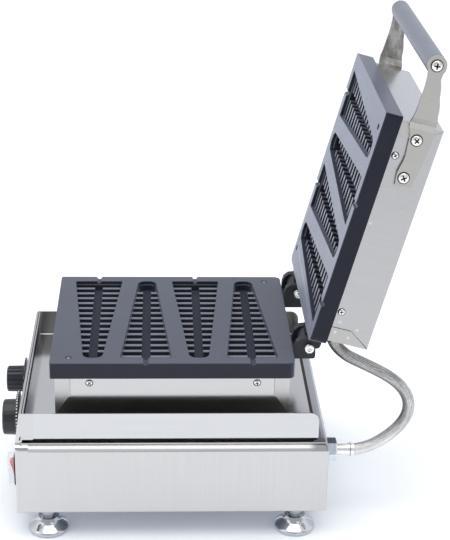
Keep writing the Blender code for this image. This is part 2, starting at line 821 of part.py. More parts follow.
def pedestal():
    shell = folded_shell(
        "lower_pedestal",
        (-PEDESTAL_WIDTH / 2, PLATE_SETBACK - PEDESTAL_LENGTH / 2, PEDESTAL_Z),
        (PEDESTAL_WIDTH / 2, PLATE_SETBACK + PEDESTAL_LENGTH / 2, PEDESTAL_Z + PEDESTAL_HEIGHT),
        [],
        [((0, 0, 1), BOTTOM_FLANGE), ((0, 0, -1), BOTTOM_FLANGE)],
        SHEET,
        BODY_BEND,
    )
    return finish(shell, STEEL)


# Cast plates, built with the working face at a height and the metal on one side of it


def plate_slab(name, face_z, back_z):
    low, high = sorted((face_z, back_z))
    outline = rounded(
        [
            (-PLATE_X, PLATE_FRONT_Y, PLATE_FRONT_CORNER),
            (PLATE_X, PLATE_FRONT_Y, PLATE_FRONT_CORNER),
            (PLATE_X, PLATE_REAR_Y, PLATE_REAR_CORNER),
            (-PLATE_X, PLATE_REAR_Y, PLATE_REAR_CORNER),
        ]
    )
    return prism(name, outline, "Z", low, high)


def plate_skirt(name, back_z, away):
    """The cast frame behind the plate that the heater cover is screwed to."""
    x = COVER_X - 2 * COVER_SHEET - FIT
    front = COVER_FRONT_Y + COVER_SHEET + FIT
    rear = COVER_REAR_Y - COVER_SHEET - FIT
    outer = [(-x, front), (x, front), (x, rear), (-x, rear)]
    wall = SKIRT_WALL
    hole = [
        (-x + wall, front + wall),
        (x - wall, front + wall),
        (x - wall, rear - wall),
        (-x + wall, rear - wall),
    ]
    low, high = sorted((back_z - away * OVERRUN, back_z + away * SKIRT_HEIGHT))
    return prism(name, outer, "Z", low, high, [hole])


def pocket_ring(centre_y, heading, inset, z):
    """One level of a pocket's outline: square at the wide end and round at the narrow end."""
    end = POCKET_LENGTH / 2 - inset
    tip = POCKET_NARROW / 2 - inset
    wide = POCKET_WIDE / 2 - inset
    corner = POCKET_CORNER
    flat = rounded(
        [
            (-end, -wide, corner),
            (end, -tip, tip * 0.9),
            (end, tip, tip * 0.9),
            (-end, wide, corner),
        ],
        5,
    )
    return [(heading * u, centre_y + v, z) for u, v in flat]


def pocket_half_width(u):
    """Half the pocket's width at a distance from its wide end."""
    return (POCKET_WIDE + (POCKET_NARROW - POCKET_WIDE) * u / POCKET_LENGTH) / 2


def pocket_cutter(name, centre_y, heading, face_z, away):
    """The pocket's hollow, with its cross ribs left standing on both sides of the channel."""
    floor_z = face_z + away * POCKET_DEPTH
    mouth_z = face_z - away * OVERRUN
    grow = POCKET_DRAFT * OVERRUN / POCKET_DEPTH
    hollow = loft(
        name,
        [
            pocket_ring(centre_y, heading, -grow, mouth_z),
            pocket_ring(centre_y, heading, POCKET_DRAFT, floor_z),
        ],
        CUTTERS,
    )
    return cut(hollow, pocket_ribs(f"{name}_ribs", centre_y, heading, face_z, away))


def pocket_ribs(name, centre_y, heading, face_z, away):
    bm = bmesh.new()
    top_z = face_z + away * RIB_BELOW_FACE
    root_z = face_z + away * (POCKET_DEPTH + OVERRUN)
    low, high = sorted((top_z, root_z))
    narrow = RIB_TOP / RIB_ROOT
    for index in range(RIB_COUNT):
        along = RIB_FIRST + index * RIB_PITCH
        x = heading * (along - POCKET_LENGTH / 2)
        reach = pocket_half_width(along) + OVERRUN
        for side in (-1, 1):
            ends = sorted((centre_y + side * CHANNEL_WIDTH / 2, centre_y + side * reach))
            corners = placed_cube(
                bm, (x - RIB_ROOT / 2, ends[0], low), (x + RIB_ROOT / 2, ends[1], high)
            )
            for vert in corners:
                if abs(vert.co.z - top_z) < FIT:
                    vert.co.x = x + (vert.co.x - x) * narrow
    return object_from(bm, name)


def stick_groove(name, centre_y, heading, face_z):
    """The half-round groove that a stick lies in, from the pocket's wide end out to the edge."""
    start = POCKET_LENGTH / 2 - OVERRUN
    place = (-heading * start, centre_y, face_z)
    length = PLATE_X - start + OVERRUN
    return rod(name, STICK_RADIUS, place, length, "-X" if heading > 0 else "X", 16)


def cast_plate(name, face_z, away):
    """away is the side of the working face that the metal is on, -1 below and 1 above."""
    back_z = face_z + away * PLATE_THICKNESS
    plate = plate_slab(name, face_z, back_z)
    join(plate, plate_skirt(f"{name}_skirt", back_z, away))
    for index in range(POCKET_COUNT):
        y = PLATE_SETBACK + (index - (POCKET_COUNT - 1) / 2) * POCKET_PITCH
        heading = 1 if index % 2 == 0 else -1
        cut(plate, pocket_cutter(f"{name}_pocket_{index}", y, heading, face_z, away))
        cut(plate, stick_groove(f"{name}_groove_{index}", y, heading, face_z))
    for sign in (-1, 1):
        x = -sign * (PLATE_X - DOWEL_SIDE_INSET)
        end = PLATE_REAR_Y if sign > 0 else PLATE_FRONT_Y
        y = end - sign * DOWEL_END_INSET
        start = face_z - OVERRUN if away > 0 else face_z - DOWEL_DEPTH
        cut(plate, rod(f"{name}_dowel_{sign}", DOWEL_RADIUS, (x, y, start), DOWEL_DEPTH + OVERRUN, "Z", 12))
    return finish(plate, CASTING)


# Heater covers and what they hold


def flap_outline(end_y, inward, open_z, away):
    """A corner flap: straight from the open edge, then a mitre to the cover's outer corner."""
    return [
        (end_y, open_z),
        (end_y, open_z + away * COVER_DEPTH),
        (end_y + inward * FLAP_WIDTH, open_z + away * FLAP_STRAIGHT),
        (end_y + inward * FLAP_WIDTH, open_z),
    ]


def heater_cover(name, open_z, away):
    """A folded sheet box, open towards its plate, with the end panels' flaps over its sides."""
    closed_z = open_z + away * COVER_DEPTH
    low, high = sorted((open_z, closed_z))
    side = COVER_X - COVER_SHEET
    cover = folded_shell(
        name,
        (-side, COVER_FRONT_Y, low),
        (side, COVER_REAR_Y, high),
        [(0, 0, -away)],
        [],
        COVER_SHEET,
        COVER_BEND,
    )
    for sign in (-1, 1):
        ends = sorted((sign * (side - SEAM), sign * COVER_X))
        for label, end_y, inward in (("front", COVER_FRONT_Y, 1), ("rear", COVER_REAR_Y, -1)):
            outline = flap_outline(end_y + inward * SEAM, inward, open_z + away * SEAM, away)
            outline[1] = (outline[1][0], outline[1][1] - away * 2 * SEAM)
            join(cover, prism(f"{name}_flap_{label}_{sign}", outline, "X", *ends))
    return cover


def lower_cover():
    cover = heater_cover("lower_cover", LOWER_BACK_Z - FIT, -1)
    place = (0, 0, LOWER_COVER_Z - OVERRUN)
    wires = rod("cover_wire_hole", WIRE_PASS_RADIUS, place, COVER_SHEET + 2 * OVERRUN)
    return finish(cut(cover, wires), STEEL)


def upper_cover():
    cover = heater_cover("upper_cover", UPPER_BACK_Z + FIT, 1)
    inside = COVER_REAR_Y - COVER_SHEET - OVERRUN
    place = (HOSE_X, inside, UPPER_BACK_Z + BOOT_SOCKET_RISE)
    cut(cover, rod("hose_pass", WIRE_PASS_RADIUS / 2, place, COVER_SHEET + 2 * OVERRUN, "Y", 16))
    for index, (y, z) in enumerate(strap_screws()):
        low = COVER_X - 3 * COVER_SHEET
        for sign in (-1, 1):
            place = (sign * low, y, z)
            axis = "X" if sign > 0 else "-X"
            hole = rod(f"strap_hole_{index}_{sign}", SCREW_SHANK_RADIUS + FIT, place, 3 * OVERRUN, axis, 12)
            cut(cover, hole)
    return finish(cover, STEEL)


def element_route():
    """Straight legs under the pockets, joined by half circles, with both tails on one side."""
    points = []
    radius = POCKET_PITCH / 2
    first = PLATE_SETBACK - (POCKET_COUNT - 1) / 2 * POCKET_PITCH
    points.append((-ELEMENT_REACH - ELEMENT_TAIL, first))
    for leg in range(POCKET_COUNT):
        y = first + leg * POCKET_PITCH
        heading = 1 if leg % 2 == 0 else -1
        points.append((-heading * ELEMENT_REACH, y))
        if leg == POCKET_COUNT - 1:
            break
        for step in range(8):
            turn = math.pi * step / 8 - math.pi / 2
            x = heading * (ELEMENT_REACH + radius * math.cos(turn))
            points.append((x, y + radius + radius * math.sin(turn)))
    points.append((-ELEMENT_REACH - ELEMENT_TAIL, first + (POCKET_COUNT - 1) * POCKET_PITCH))
    return points


def element(name, back_z, away):
    z = back_z + away * (ELEMENT_RADIUS + FIT)
    route = [Vector((x, y, z)) for x, y in element_route()]
    return finish(as_mesh(tube_curve(name, route, ELEMENT_RADIUS, 2)), BLACK_IRON)


def tube_curve(name, route, radius, resolution):
    curve = bpy.data.curves.new(name, "CURVE")
    curve.dimensions = "3D"
    curve.bevel_depth = radius
    curve.bevel_resolution = resolution
    curve.use_fill_caps = True
    spline = curve.splines.new("POLY")
    spline.points.add(len(route) - 1)
    for point, place in zip(spline.points, route):
        point.co = (*place, 1)
    return object_of(name, curve)


def flat_slab(name, width, length, near_z, away, thickness, look):
    low, high = sorted((near_z, near_z + away * thickness))
    corner = Vector((width / 2, length / 2, 0))
    middle = Vector((0, PLATE_SETBACK, 0))
    slab = box(name, middle - corner + Vector((0, 0, low)), middle + corner + Vector((0, 0, high)))
    return finish(slab, look)


def board_size():
    """The width and length of an insulation board, inside the skirt of the casting."""
    edge = FIT + SKIRT_WALL + BOARD_CLEARANCE
    width = 2 * (COVER_X - 2 * COVER_SHEET - edge)
    return width, COVER_REAR_Y - COVER_FRONT_Y - 2 * (COVER_SHEET + edge)


def heating(prefix, back_z, away):
    """The element, the plate that clamps it and the board that keeps the heat in."""
    width, length = board_size()
    clamp_length = length - 2 * CLAMP_END_CLEARANCE
    clamp_z = back_z + away * (2 * ELEMENT_RADIUS + 2 * FIT)
    board_z = clamp_z + away * (CLAMP_THICKNESS + FIT)
    return [
        element(f"{prefix}_element", back_z, away),
        flat_slab(f"{prefix}_clamp_plate", CLAMP_WIDTH, clamp_length, clamp_z, away, CLAMP_THICKNESS, STEEL),
        flat_slab(f"{prefix}_insulation", width, length, board_z, away, BOARD_THICKNESS, BOARD),
    ]


def sensor_bulb():
    z = LOWER_BACK_Z - FIT - BULB_RADIUS
    place = (-BULB_LENGTH / 2, PLATE_SETBACK, z)
    return finish(rod("sensor_bulb", BULB_RADIUS, place, BULB_LENGTH, "X", 12), CHROME)


# Hinges


def hinge_spans(sign):
    """The left and right faces of a hinge, in X."""
    return sorted((sign * HINGE_INNER, sign * HINGE_OUTER))


def hinge_bracket(name, sign, drop):
    """Two ears on a web that is fixed to the lower plate's rear face."""
    low, high = hinge_spans(sign)
    root = PLATE_REAR_Y + FIT
    foot_z = HINGE_Z - drop
    web = [
        (root, foot_z + SEAM),
        (root + WEB_DEPTH, foot_z + SEAM),
        (root + WEB_DEPTH, FACE_Z - FIT),
        (root, FACE_Z - FIT),
    ]
    bracket = prism(name, web, "X", low + SEAM, high - SEAM)
    for index, start in enumerate((low, high - EAR_THICKNESS)):
        ear = prism(f"{name}_ear_{index}", ear_outline(foot_z), "X", start, start + EAR_THICKNESS)
        join(bracket, ear)
    place = (low - OVERRUN, HINGE_Y, HINGE_Z)
    length = high - low + 2 * OVERRUN
    bore = rod(f"{name}_bore", HINGE_BOLT_RADIUS + RUNNING_FIT, place, length, "X")
    return finish(cut(bracket, bore), BLACK_IRON)


def ear_outline(foot_z):
    """A flat-footed block with a round top about the axis, its shoulder clear of the lid's sweep."""
    root = PLATE_REAR_Y + FIT
    heel = HINGE_Y + EAR_REACH
    width = HINGE_Y - root
    points = rounded([(heel, foot_z, EAR_CORNER), (heel, HINGE_Z), (root, HINGE_Z), (root, foot_z)], 3)[:4]
    steps = 10
    start = math.acos(EAR_REACH / EAR_RADIUS)
    for step in range(steps + 1):
        turn = start + (math.radians(105) - start) * step / steps
        points.append(Vector((HINGE_Y, HINGE_Z)) + EAR_RADIUS * Vector((math.cos(turn), math.sin(turn))))
    for along, rise in reversed(EAR_SHOULDER_SHARES):
        points.append(Vector((root + along * width, HINGE_Z + rise * EAR_RADIUS)))
    return [*points, Vector((root, foot_z))]


def hinge_knuckle(name, sign):
    """An eye between the ears, on an arm from the upper plate, with a nose that meets the web."""
    low, high = hinge_spans(sign)
    low += EAR_THICKNESS + KNUCKLE_PLAY
    high -= EAR_THICKNESS + KNUCKLE_PLAY
    root = PLATE_REAR_Y + FIT
    knuckle = prism(name, circle((HINGE_Y, HINGE_Z), KNUCKLE_RADIUS), "X", low, high)
    top = UPPER_BACK_Z + ARM_RISE
    heel = HINGE_Y + EAR_REACH - ARM_CORNER / 2
    arm = rounded(
        [
            (root, UPPER_FACE_Z + FIT),
            (HINGE_Y, HINGE_Z - KNUCKLE_RADIUS / 2),
            (heel, HINGE_Z),
            (heel, top, ARM_CORNER),
            (root, top),
        ]
    )
    join(knuckle, prism(f"{name}_arm", arm, "X", low + SEAM, high - SEAM))
    nose = prism(f"{name}_nose", nose_outline(), "X", low + 2 * SEAM, high - 2 * SEAM)
    join(knuckle, nose)
    place = (low - OVERRUN, HINGE_Y, HINGE_Z)
    length = high - low + 2 * OVERRUN
    bore = rod(f"{name}_bore", HINGE_BOLT_RADIUS + RUNNING_FIT, place, length, "X")
    return finish(cut(knuckle, bore), BLACK_IRON)


def nose_outline():
    """The stop, drawn where it meets the web with the lid open, and turned back to the closed lid."""
    face = PLATE_REAR_Y + WEB_DEPTH + 2 * FIT
    foot_z = HINGE_Z - RIGHT_EAR_DROP + FIT
    open_points = [
        (face, foot_z),
        (face + NOSE_REACH, foot_z),
        (HINGE_Y + SEAM, HINGE_Z - KNUCKLE_RADIUS / 2),
        (face, HINGE_Z - KNUCKLE_RADIUS / 2),
    ]
    pivot = Vector((HINGE_Y, HINGE_Z))
    turn = Matrix.Rotation(LID_OPEN_ANGLE, 2)
    return [pivot + turn @ (Vector(point) - pivot) for point in open_points]


def hinge_bolt(name, sign):
    low, high = hinge_spans(sign)
    grip = high - low
    head = high + FIT
    reach = grip + HINGE_NUT_HEIGHT + 2 * OVERRUN
    profile = [
        (0, HINGE_HEAD_HEIGHT),
        (HINGE_HEAD_RADIUS - BAR_CHAMFER, HINGE_HEAD_HEIGHT),
        (HINGE_HEAD_RADIUS, HINGE_HEAD_HEIGHT - BAR_CHAMFER),
        (HINGE_HEAD_RADIUS, 0),
        (HINGE_BOLT_RADIUS, 0),
        (HINGE_BOLT_RADIUS, -reach),
        (0, -reach),
    ]
    return finish(turned(name, profile, (head, HINGE_Y, HINGE_Z), "X"), CHROME)


def hinge_nut(name, sign):
    low, _ = hinge_spans(sign)
    place = Vector((low - FIT, HINGE_Y, HINGE_Z))
    nut = rod(name, HINGE_NUT_RADIUS, place, HINGE_NUT_HEIGHT, "-X", 6)
    start = place + Vector((OVERRUN, 0, 0))
    bore = rod(f"{name}_bore", HINGE_BOLT_RADIUS + FIT, start, HINGE_NUT_HEIGHT + 2 * OVERRUN, "-X")
    return finish(cut(nut, bore), CHROME)


# Handle


def strap_screws():
    """The two screws of each strap, as (y, z) with the lid closed."""
    for step in (0, 1):
        y = BAR_Y + STRAP_SCREW_FRONT + step * STRAP_SCREW_SPACING
        yield y, UPPER_BACK_Z + STRAP_SCREW_RISE


def strap_inner_x(y):
    """The strap's inner face: against the cover behind the bend, and stepped out in front of it."""
    share = (COVER_FRONT_Y - y) / STRAP_BEND_RUN
    share = min(1, max(0, share))
    return COVER_X + FIT + STRAP_JOGGLE * share * share * (3 - 2 * share)


def strap_section(along):
    """(centre, half width) of the strap at a distance from the bar, from the table of stations."""
    stations = [(s * STRAP_REACH, c * STRAP_WIDTH, h * STRAP_WIDTH) for s, c, h in STRAP_STATION_SHARES]
    if along <= stations[0][0]:
        return stations[0][1:]
    for before, after in zip(stations, stations[1:]):
        if along <= after[0]:
            share = (along - before[0]) / (after[0] - before[0])
            share = share * share * (3 - 2 * share)
            return tuple(b + (a - b) * share for b, a in zip(before[1:], after[1:]))
    return stations[-1][1:]


def strap_cuts():
    """Distances from the bar's axis at which the strap's outline is taken."""
    eye = [-BAR_RADIUS * math.cos(math.radians(a)) for a in (10, 30, 50, 70, 90, 110, 130)]
    neck = max(eye)
    count = 20
    return eye + [neck + (STRAP_REACH - neck) * step / count for step in range(1, count + 1)]


def handle_strap(name, sign):
    """A flat bar with a round eye at the handle, stepped outwards in front of the cover."""
    rings = []
    for along in strap_cuts():
        centre, half = strap_section(along)
        if along < BAR_RADIUS:
            eye = math.sqrt(BAR_RADIUS**2 - along**2)
            share = max(0, along) / BAR_RADIUS
            centre *= share
            half = max(eye, half * share)
        y = BAR_Y + along
        z = BAR_Z + centre
        inner = strap_inner_x(y)
        faces = (inner, inner + STRAP_THICKNESS)
        slant = STRAP_END_SLANT if along == STRAP_REACH else 0
        rings.append(
            [
                (sign * faces[0], y + slant, z - half),
                (sign * faces[1], y + slant, z - half),
                (sign * faces[1], y, z + half),
                (sign * faces[0], y, z + half),
            ]
        )
    strap = loft(name, rings)
    through = STRAP_THICKNESS + 2 * OVERRUN
    axis = "X" if sign > 0 else "-X"
    hole = SCREW_SHANK_RADIUS + FIT
    start = strap_inner_x(BAR_Y) - OVERRUN
    cut(strap, rod(f"{name}_eye", hole, (sign * start, BAR_Y, BAR_Z), through, axis, 16))
    for index, (y, z) in enumerate(strap_screws()):
        start = strap_inner_x(y) - OVERRUN
        cut(strap, rod(f"{name}_hole_{index}", hole, (sign * start, y, z), through, axis, 12))
    return finish(strap, STEEL)


def handle_bar():
    half = strap_inner_x(BAR_Y) - FIT
    edge = BAR_RADIUS - BAR_CHAMFER
    profile = [
        (0, half),
        (edge, half),
        (BAR_RADIUS, half - BAR_CHAMFER),
        (BAR_RADIUS, BAR_CHAMFER - half),
        (edge, -half),
        (0, -half),
    ]
    bar = turned("handle_bar", profile, (0, BAR_Y, BAR_Z), "X", 32)
    for sign in (-1, 1):
        start = half - BAR_SCREW_LENGTH
        axis = "X" if sign > 0 else "-X"
        place = (sign * start, BAR_Y, BAR_Z)
        hole = rod(f"bar_hole_{sign}", SCREW_SHANK_RADIUS + FIT, place, BAR_SCREW_LENGTH + OVERRUN, axis, 16)
        cut(bar, hole)
    return finish(bar, BAR_GREY)


def pan_screw(name, place, axis, length):
    """A domed head whose underside is at place, with its shank running back along the axis."""
    profile = [
        (0, SCREW_HEAD_HEIGHT),
        (SCREW_HEAD_RADIUS * 0.55, SCREW_HEAD_HEIGHT * 0.92),
        (SCREW_HEAD_RADIUS * 0.9, SCREW_HEAD_HEIGHT * 0.6),
        (SCREW_HEAD_RADIUS, SCREW_HEAD_HEIGHT * 0.2),
        (SCREW_HEAD_RADIUS, 0),
        (SCREW_SHANK_RADIUS, 0),
        (SCREW_SHANK_RADIUS, -length),
        (0, -length),
    ]
    return finish(turned(name, profile, place, axis, 16), CHROME)


def handle_screws():
    screws = []
    for sign, side in ((-1, "left"), (1, "right")):
        axis = "X" if sign > 0 else "-X"
        head = strap_inner_x(BAR_Y) + STRAP_THICKNESS + FIT
        length = STRAP_THICKNESS + BAR_SCREW_LENGTH
        screws.append(pan_screw(f"handle_screw_{side}", (sign * head, BAR_Y, BAR_Z), axis, length))
        for end, (y, z) in zip(("front", "rear"), strap_screws()):
            head = strap_inner_x(y) + STRAP_THICKNESS + FIT
            place = (sign * head, y, z)
            screws.append(pan_screw(f"strap_screw_{end}_{side}", place, axis, STRAP_SCREW_LENGTH))
    return screws


# Controls


def control_body(name, x):
    """The timer or thermostat behind the panel, with a seat for its shaft."""
    front = FRONT_Y + SHEET + SEAM + 2 * FIT
    half = CONTROL_SIZE / 2
    low = (x - half, front, KNOB_Z - half)
    body = box(name, low, (x + half, front + CONTROL_DEPTH, KNOB_Z + half), CONTROL_BEVEL)
    place = (x, front + SHAFT_SEAT, KNOB_Z)
    bore = rod(f"{name}_bore", SHAFT_RADIUS + FIT, place, SHAFT_SEAT + OVERRUN, "-Y", 16)
    return finish(cut(body, bore), NYLON)


def knob_back():
    """The plane of a skirt's rear face."""
    return FRONT_Y - SKIRT_STANDOFF


def control_shaft(name, x):
    start = FRONT_Y + SHEET + SEAM + FIT + SHAFT_SEAT
    end = knob_back() - SKIRT_THICKNESS - SHAFT_GRIP
    return finish(rod(name, SHAFT_RADIUS, (x, start, KNOB_Z), start - end, "-Y", 16), CHROME)


def knob(name, x, radius, length, skirt_radius, flutes):
    """A grip on a thin dial skirt. The profile runs from the grip's front face to the skirt's rear."""
    tall = SKIRT_THICKNESS + length
    edge = BAR_CHAMFER * 2
    profile = [
        (0, tall),
        (radius - edge, tall),
        (radius, tall - edge),
        (radius + BAR_CHAMFER / 2, SKIRT_THICKNESS + edge),
        (radius + BAR_CHAMFER, SKIRT_THICKNESS),
        (skirt_radius, SKIRT_THICKNESS / 2),
        (skirt_radius, 0),
        (0, 0),
    ]
    made = turned(name, profile, (x, knob_back(), KNOB_Z), "-Y", 30)
    for index in range(flutes):
        turn = 2 * math.pi * index / flutes
        reach = radius + KNOB_FLUTE_DEPTH
        z = KNOB_Z + reach * math.sin(turn)
        place = (x + reach * math.cos(turn), knob_back() - SKIRT_THICKNESS - edge, z)
        cut(made, rod(f"{name}_flute_{index}", 2 * KNOB_FLUTE_DEPTH, place, length, "-Y", 6))
    place = (x, knob_back() + OVERRUN, KNOB_Z)
    depth = SKIRT_THICKNESS + SHAFT_GRIP + FIT + OVERRUN
    bore = rod(f"{name}_bore", SHAFT_RADIUS + FIT, place, depth, "-Y", 16)
    return finish(cut(made, bore), BLACK_PLASTIC)


def pilot_lamp(name, x, look):
    """A domed lens with its lip on the panel and its body through it."""
    z = KNOB_Z - LAMP_DROP
    base = SHEET + FIT
    profile = [
        (0, base + LAMP_HEIGHT),
        (LAMP_RADIUS * 0.6, base + LAMP_HEIGHT * 0.86),
        (LAMP_RADIUS * 0.95, base + LAMP_HEIGHT * 0.45),
        (LAMP_BEZEL, base + SEAM),
        (LAMP_BEZEL, base),
        (LAMP_RADIUS, base),
        (LAMP_RADIUS, -LAMP_BODY),
        (0, -LAMP_BODY),
    ]
    return finish(turned(name, profile, (x, FRONT_Y + SHEET, z), "-Y"), look)


# Switch


def switch_place():
    return SIDE_X - SWITCH_SIDE_INSET, LEDGE_Z - SWITCH_DROP


def switch_housing():
    """A bezel on the panel and a body through it, hollowed for the rocker."""
    x, z = switch_place()
    front = FRONT_Y - FIT - BEZEL_THICKNESS
    half = Vector((BEZEL_WIDTH / 2, 0, BEZEL_HEIGHT / 2))
    low = Vector((x, front, z)) - half
    bezel = box("switch_housing", low, Vector((x, FRONT_Y - FIT, z)) + half)
    half = Vector((SWITCH_BODY_WIDTH / 2, 0, SWITCH_BODY_HEIGHT / 2))
    low = Vector((x, FRONT_Y - SEAM, z)) - half
    join(bezel, box("switch_body", low, Vector((x, FRONT_Y + SWITCH_BODY_DEPTH, z)) + half))
    half = Vector((ROCKER_WIDTH / 2 + ROCKER_PLAY, 0, ROCKER_HEIGHT / 2 + ROCKER_PLAY))
    depth = FRONT_Y + ROCKER_DEPTH + 2 * ROCKER_PIVOT_DEPTH
    low = Vector((x, front - OVERRUN, z)) - half
    cut(bezel, box("rocker_well", low, Vector((x, depth, z)) + half))
    reach = SWITCH_BODY_WIDTH / 2 + OVERRUN
    place = (x - reach, FRONT_Y + ROCKER_PIVOT_DEPTH / 2, z)
    cut(bezel, rod("rocker_sockets", ROCKER_PIN_RADIUS + RUNNING_FIT, place, 2 * reach, "X", 12))
    return finish(bezel, BLACK_PLASTIC)


def rocker():
    """A dished rocker on its pivot, tilted with its upper end out."""
    x, z = switch_place()
    half = ROCKER_HEIGHT / 2
    crest = ROCKER_PIVOT_DEPTH + ROCKER_CREST
    outline = [
        (-crest, half - ROCKER_DISH),
        (-crest + ROCKER_DISH, 0),
        (-crest, ROCKER_DISH - half),
        (-ROCKER_PIVOT_DEPTH / 2, -half),
        (ROCKER_DEPTH, -half / 2),
        (ROCKER_DEPTH, half / 2),
        (-ROCKER_PIVOT_DEPTH / 2, half),
    ]
    made = prism("switch_rocker", outline, "X", -ROCKER_WIDTH / 2, ROCKER_WIDTH / 2)
    reach = SWITCH_BODY_WIDTH / 2 - FIT
    pins = rod("rocker_pins", ROCKER_PIN_RADIUS, (-reach, 0, 0), 2 * reach, "X", 12)
    join(made, pins)
    pins.parent = made
    made.location = (x, FRONT_Y + ROCKER_PIVOT_DEPTH / 2, z)
    made.rotation_euler = (ROCKER_THROW, 0, 0)
    return finish(made, RED_PLASTIC)


def switch_boot():
    """A clear cap over the rocker, seated on the bezel."""
    x, z = switch_place()
    seat = FRONT_Y - FIT - BEZEL_THICKNESS - FIT
    half = Vector((BEZEL_WIDTH / 2 - BOOT_INSET, 0, BEZEL_HEIGHT / 2 - BOOT_INSET))
    low = Vector((x, seat - BOOT_DEPTH, z)) - half
    high = Vector((x, seat, z)) + half
    boot = folded_shell("switch_boot", low, high, [(0, 1, 0)], [], BOOT_WALL, BOOT_BEND)
    return finish(boot, CLEAR_PLASTIC)


# Hose and glands


def hose_nut():
    """The hexagon nut against the rear wall, with its threaded spigot through the wall."""
    wall = REAR_Y + FIT
    corner = NUT_ACROSS_FLATS / 2 / math.cos(math.pi / 6)
    profile = [
        (0, NUT_THICKNESS),
        (corner - NUT_CHAMFER, NUT_THICKNESS),
        (corner, NUT_THICKNESS - NUT_CHAMFER),
        (corner, NUT_CHAMFER),
        (corner - NUT_CHAMFER, 0),
        (0, 0),
    ]
    nut = turned("hose_nut", profile, (HOSE_X, wall, HOSE_Z), "Y", 6)
    spigot_length = GLAND_THREAD_LENGTH + OVERRUN
    place = (HOSE_X, wall + OVERRUN, HOSE_Z)
    join(nut, rod("hose_spigot", GLAND_THREAD_RADIUS, place, spigot_length, "-Y"))
    return finish(nut, CHROME)


def ferrule_start():
    return REAR_Y + FIT + NUT_THICKNESS + FIT


def hose_ferrule():
    """The crimped ferrule: a plain barrel, a ring and the sleeve that the braid comes out of."""
    ring_end = FERRULE_LENGTH + FERRULE_RING
    full = ring_end + SLEEVE_LENGTH
    ridge = (FERRULE_RING - FERRULE_GROOVE) / 2
    profile = [
        (0, full),
        (SLEEVE_RADIUS, full),
        (SLEEVE_RADIUS, ring_end),
        (FERRULE_RING_RADIUS, ring_end),
        (FERRULE_RING_RADIUS, ring_end - ridge),
        (SLEEVE_RADIUS, ring_end - ridge),
        (SLEEVE_RADIUS, FERRULE_LENGTH + ridge),
        (FERRULE_RING_RADIUS, FERRULE_LENGTH + ridge),
        (FERRULE_RING_RADIUS, FERRULE_LENGTH),
        (FERRULE_RADIUS, FERRULE_LENGTH),
        (FERRULE_RADIUS, 0),
        (0, 0),
    ]
    return finish(turned("hose_ferrule", profile, (HOSE_X, ferrule_start(), HOSE_Z), "Y"), CHROME)


def opened(point):
    """A point of the closed lid, turned to where it is with the lid open."""
    pivot = Vector((0, HINGE_Y, HINGE_Z))
    return pivot + Matrix.Rotation(-LID_OPEN_ANGLE, 3, "X") @ (Vector(point) - pivot)


def boot_axis():
    """Where the lid boot stands on the cover's rear face, and the way the hose leaves it."""
    start = Vector((HOSE_X, COVER_REAR_Y + FIT, UPPER_BACK_Z + BOOT_SOCKET_RISE))
    return start, Vector((0, math.cos(BOOT_SOCKET_TILT), math.sin(BOOT_SOCKET_TILT)))


def lid_boot():
    """A short rubber elbow that guides the hose into the cover."""
    start, way = boot_axis()
    back = BOOT_SOCKET_RADIUS * math.tan(BOOT_SOCKET_TILT) + OVERRUN
    length = back + BOOT_SOCKET_LENGTH
    profile = [(0, length), (BOOT_SOCKET_RADIUS, length), (BOOT_SOCKET_RADIUS, 0), (0, 0)]
    made = turned("lid_boot", profile, start - way * back, "Y", 20)
    made.rotation_euler = (BOOT_SOCKET_TILT - math.pi / 2, 0, 0)
    reach = Vector((2 * BOOT_SOCKET_RADIUS, 4 * BOOT_SOCKET_RADIUS, 4 * BOOT_SOCKET_RADIUS))
    low = start - reach
    high = Vector((start.x, start.y, start.z)) + Vector((reach.x, 0, reach.z))
    return finish(cut(made, box("boot_seat", low, high)), RUBBER)


def hose_points():
    """The whole route at an even step, on a smooth curve through the chosen points."""
    sleeve = ferrule_start() + FERRULE_LENGTH + FERRULE_RING + SLEEVE_LENGTH + FIT
    begin = Vector((HOSE_X, sleeve, HOSE_Z))
    start, way = boot_axis()
    end = opened(start + way * (BOOT_SOCKET_LENGTH + FIT))
    inward = opened(start) - end
    inward.normalize()
    run = HOSE_RADIUS / 2
    first = begin + Vector((0, run, 0))
    last = end - inward * run
    knots = [begin, first]
    knots += [Vector((HOSE_X, REAR_Y + back * MM, up * MM)) for back, up in HOSE_ROUTE]
    knots += [last, end]
    fine = []
    for a, b, c, d in zip(knots, knots[1:], knots[2:], knots[3:]):
        fine += [smooth_point(a, b, c, d, step / 8) for step in range(8)]
    fine.append(last)
    return [begin, *even_points(fine, HOSE_STEPS), end]


def smooth_point(a, b, c, d, t):
    """A point between b and c on the curve through a, b, c and d."""
    pull = (c - a) * t + (2 * a - 5 * b + 4 * c - d) * t**2 + (3 * b - a - 3 * c + d) * t**3
    return b + pull / 2


def even_points(points, count):
    lengths = [0.0]
    for one, two in zip(points, points[1:]):
        lengths.append(lengths[-1] + (two - one).length)
    places = []
    for step in range(count + 1):
        wanted = lengths[-1] * step / count
        index = next(i for i, at in enumerate(lengths) if at >= wanted - MM * MM)
        index = max(1, index)
        share = (wanted - lengths[index - 1]) / (lengths[index] - lengths[index - 1])
        places.append(points[index - 1].lerp(points[index], min(1, share)))
    return places


def hose():
    return finish(as_mesh(tube_curve("hose", hose_points(), HOSE_RADIUS, 3)), BRAID)


def cable_gland_z():
    return LEDGE_Z - CABLE_GLAND_DROP


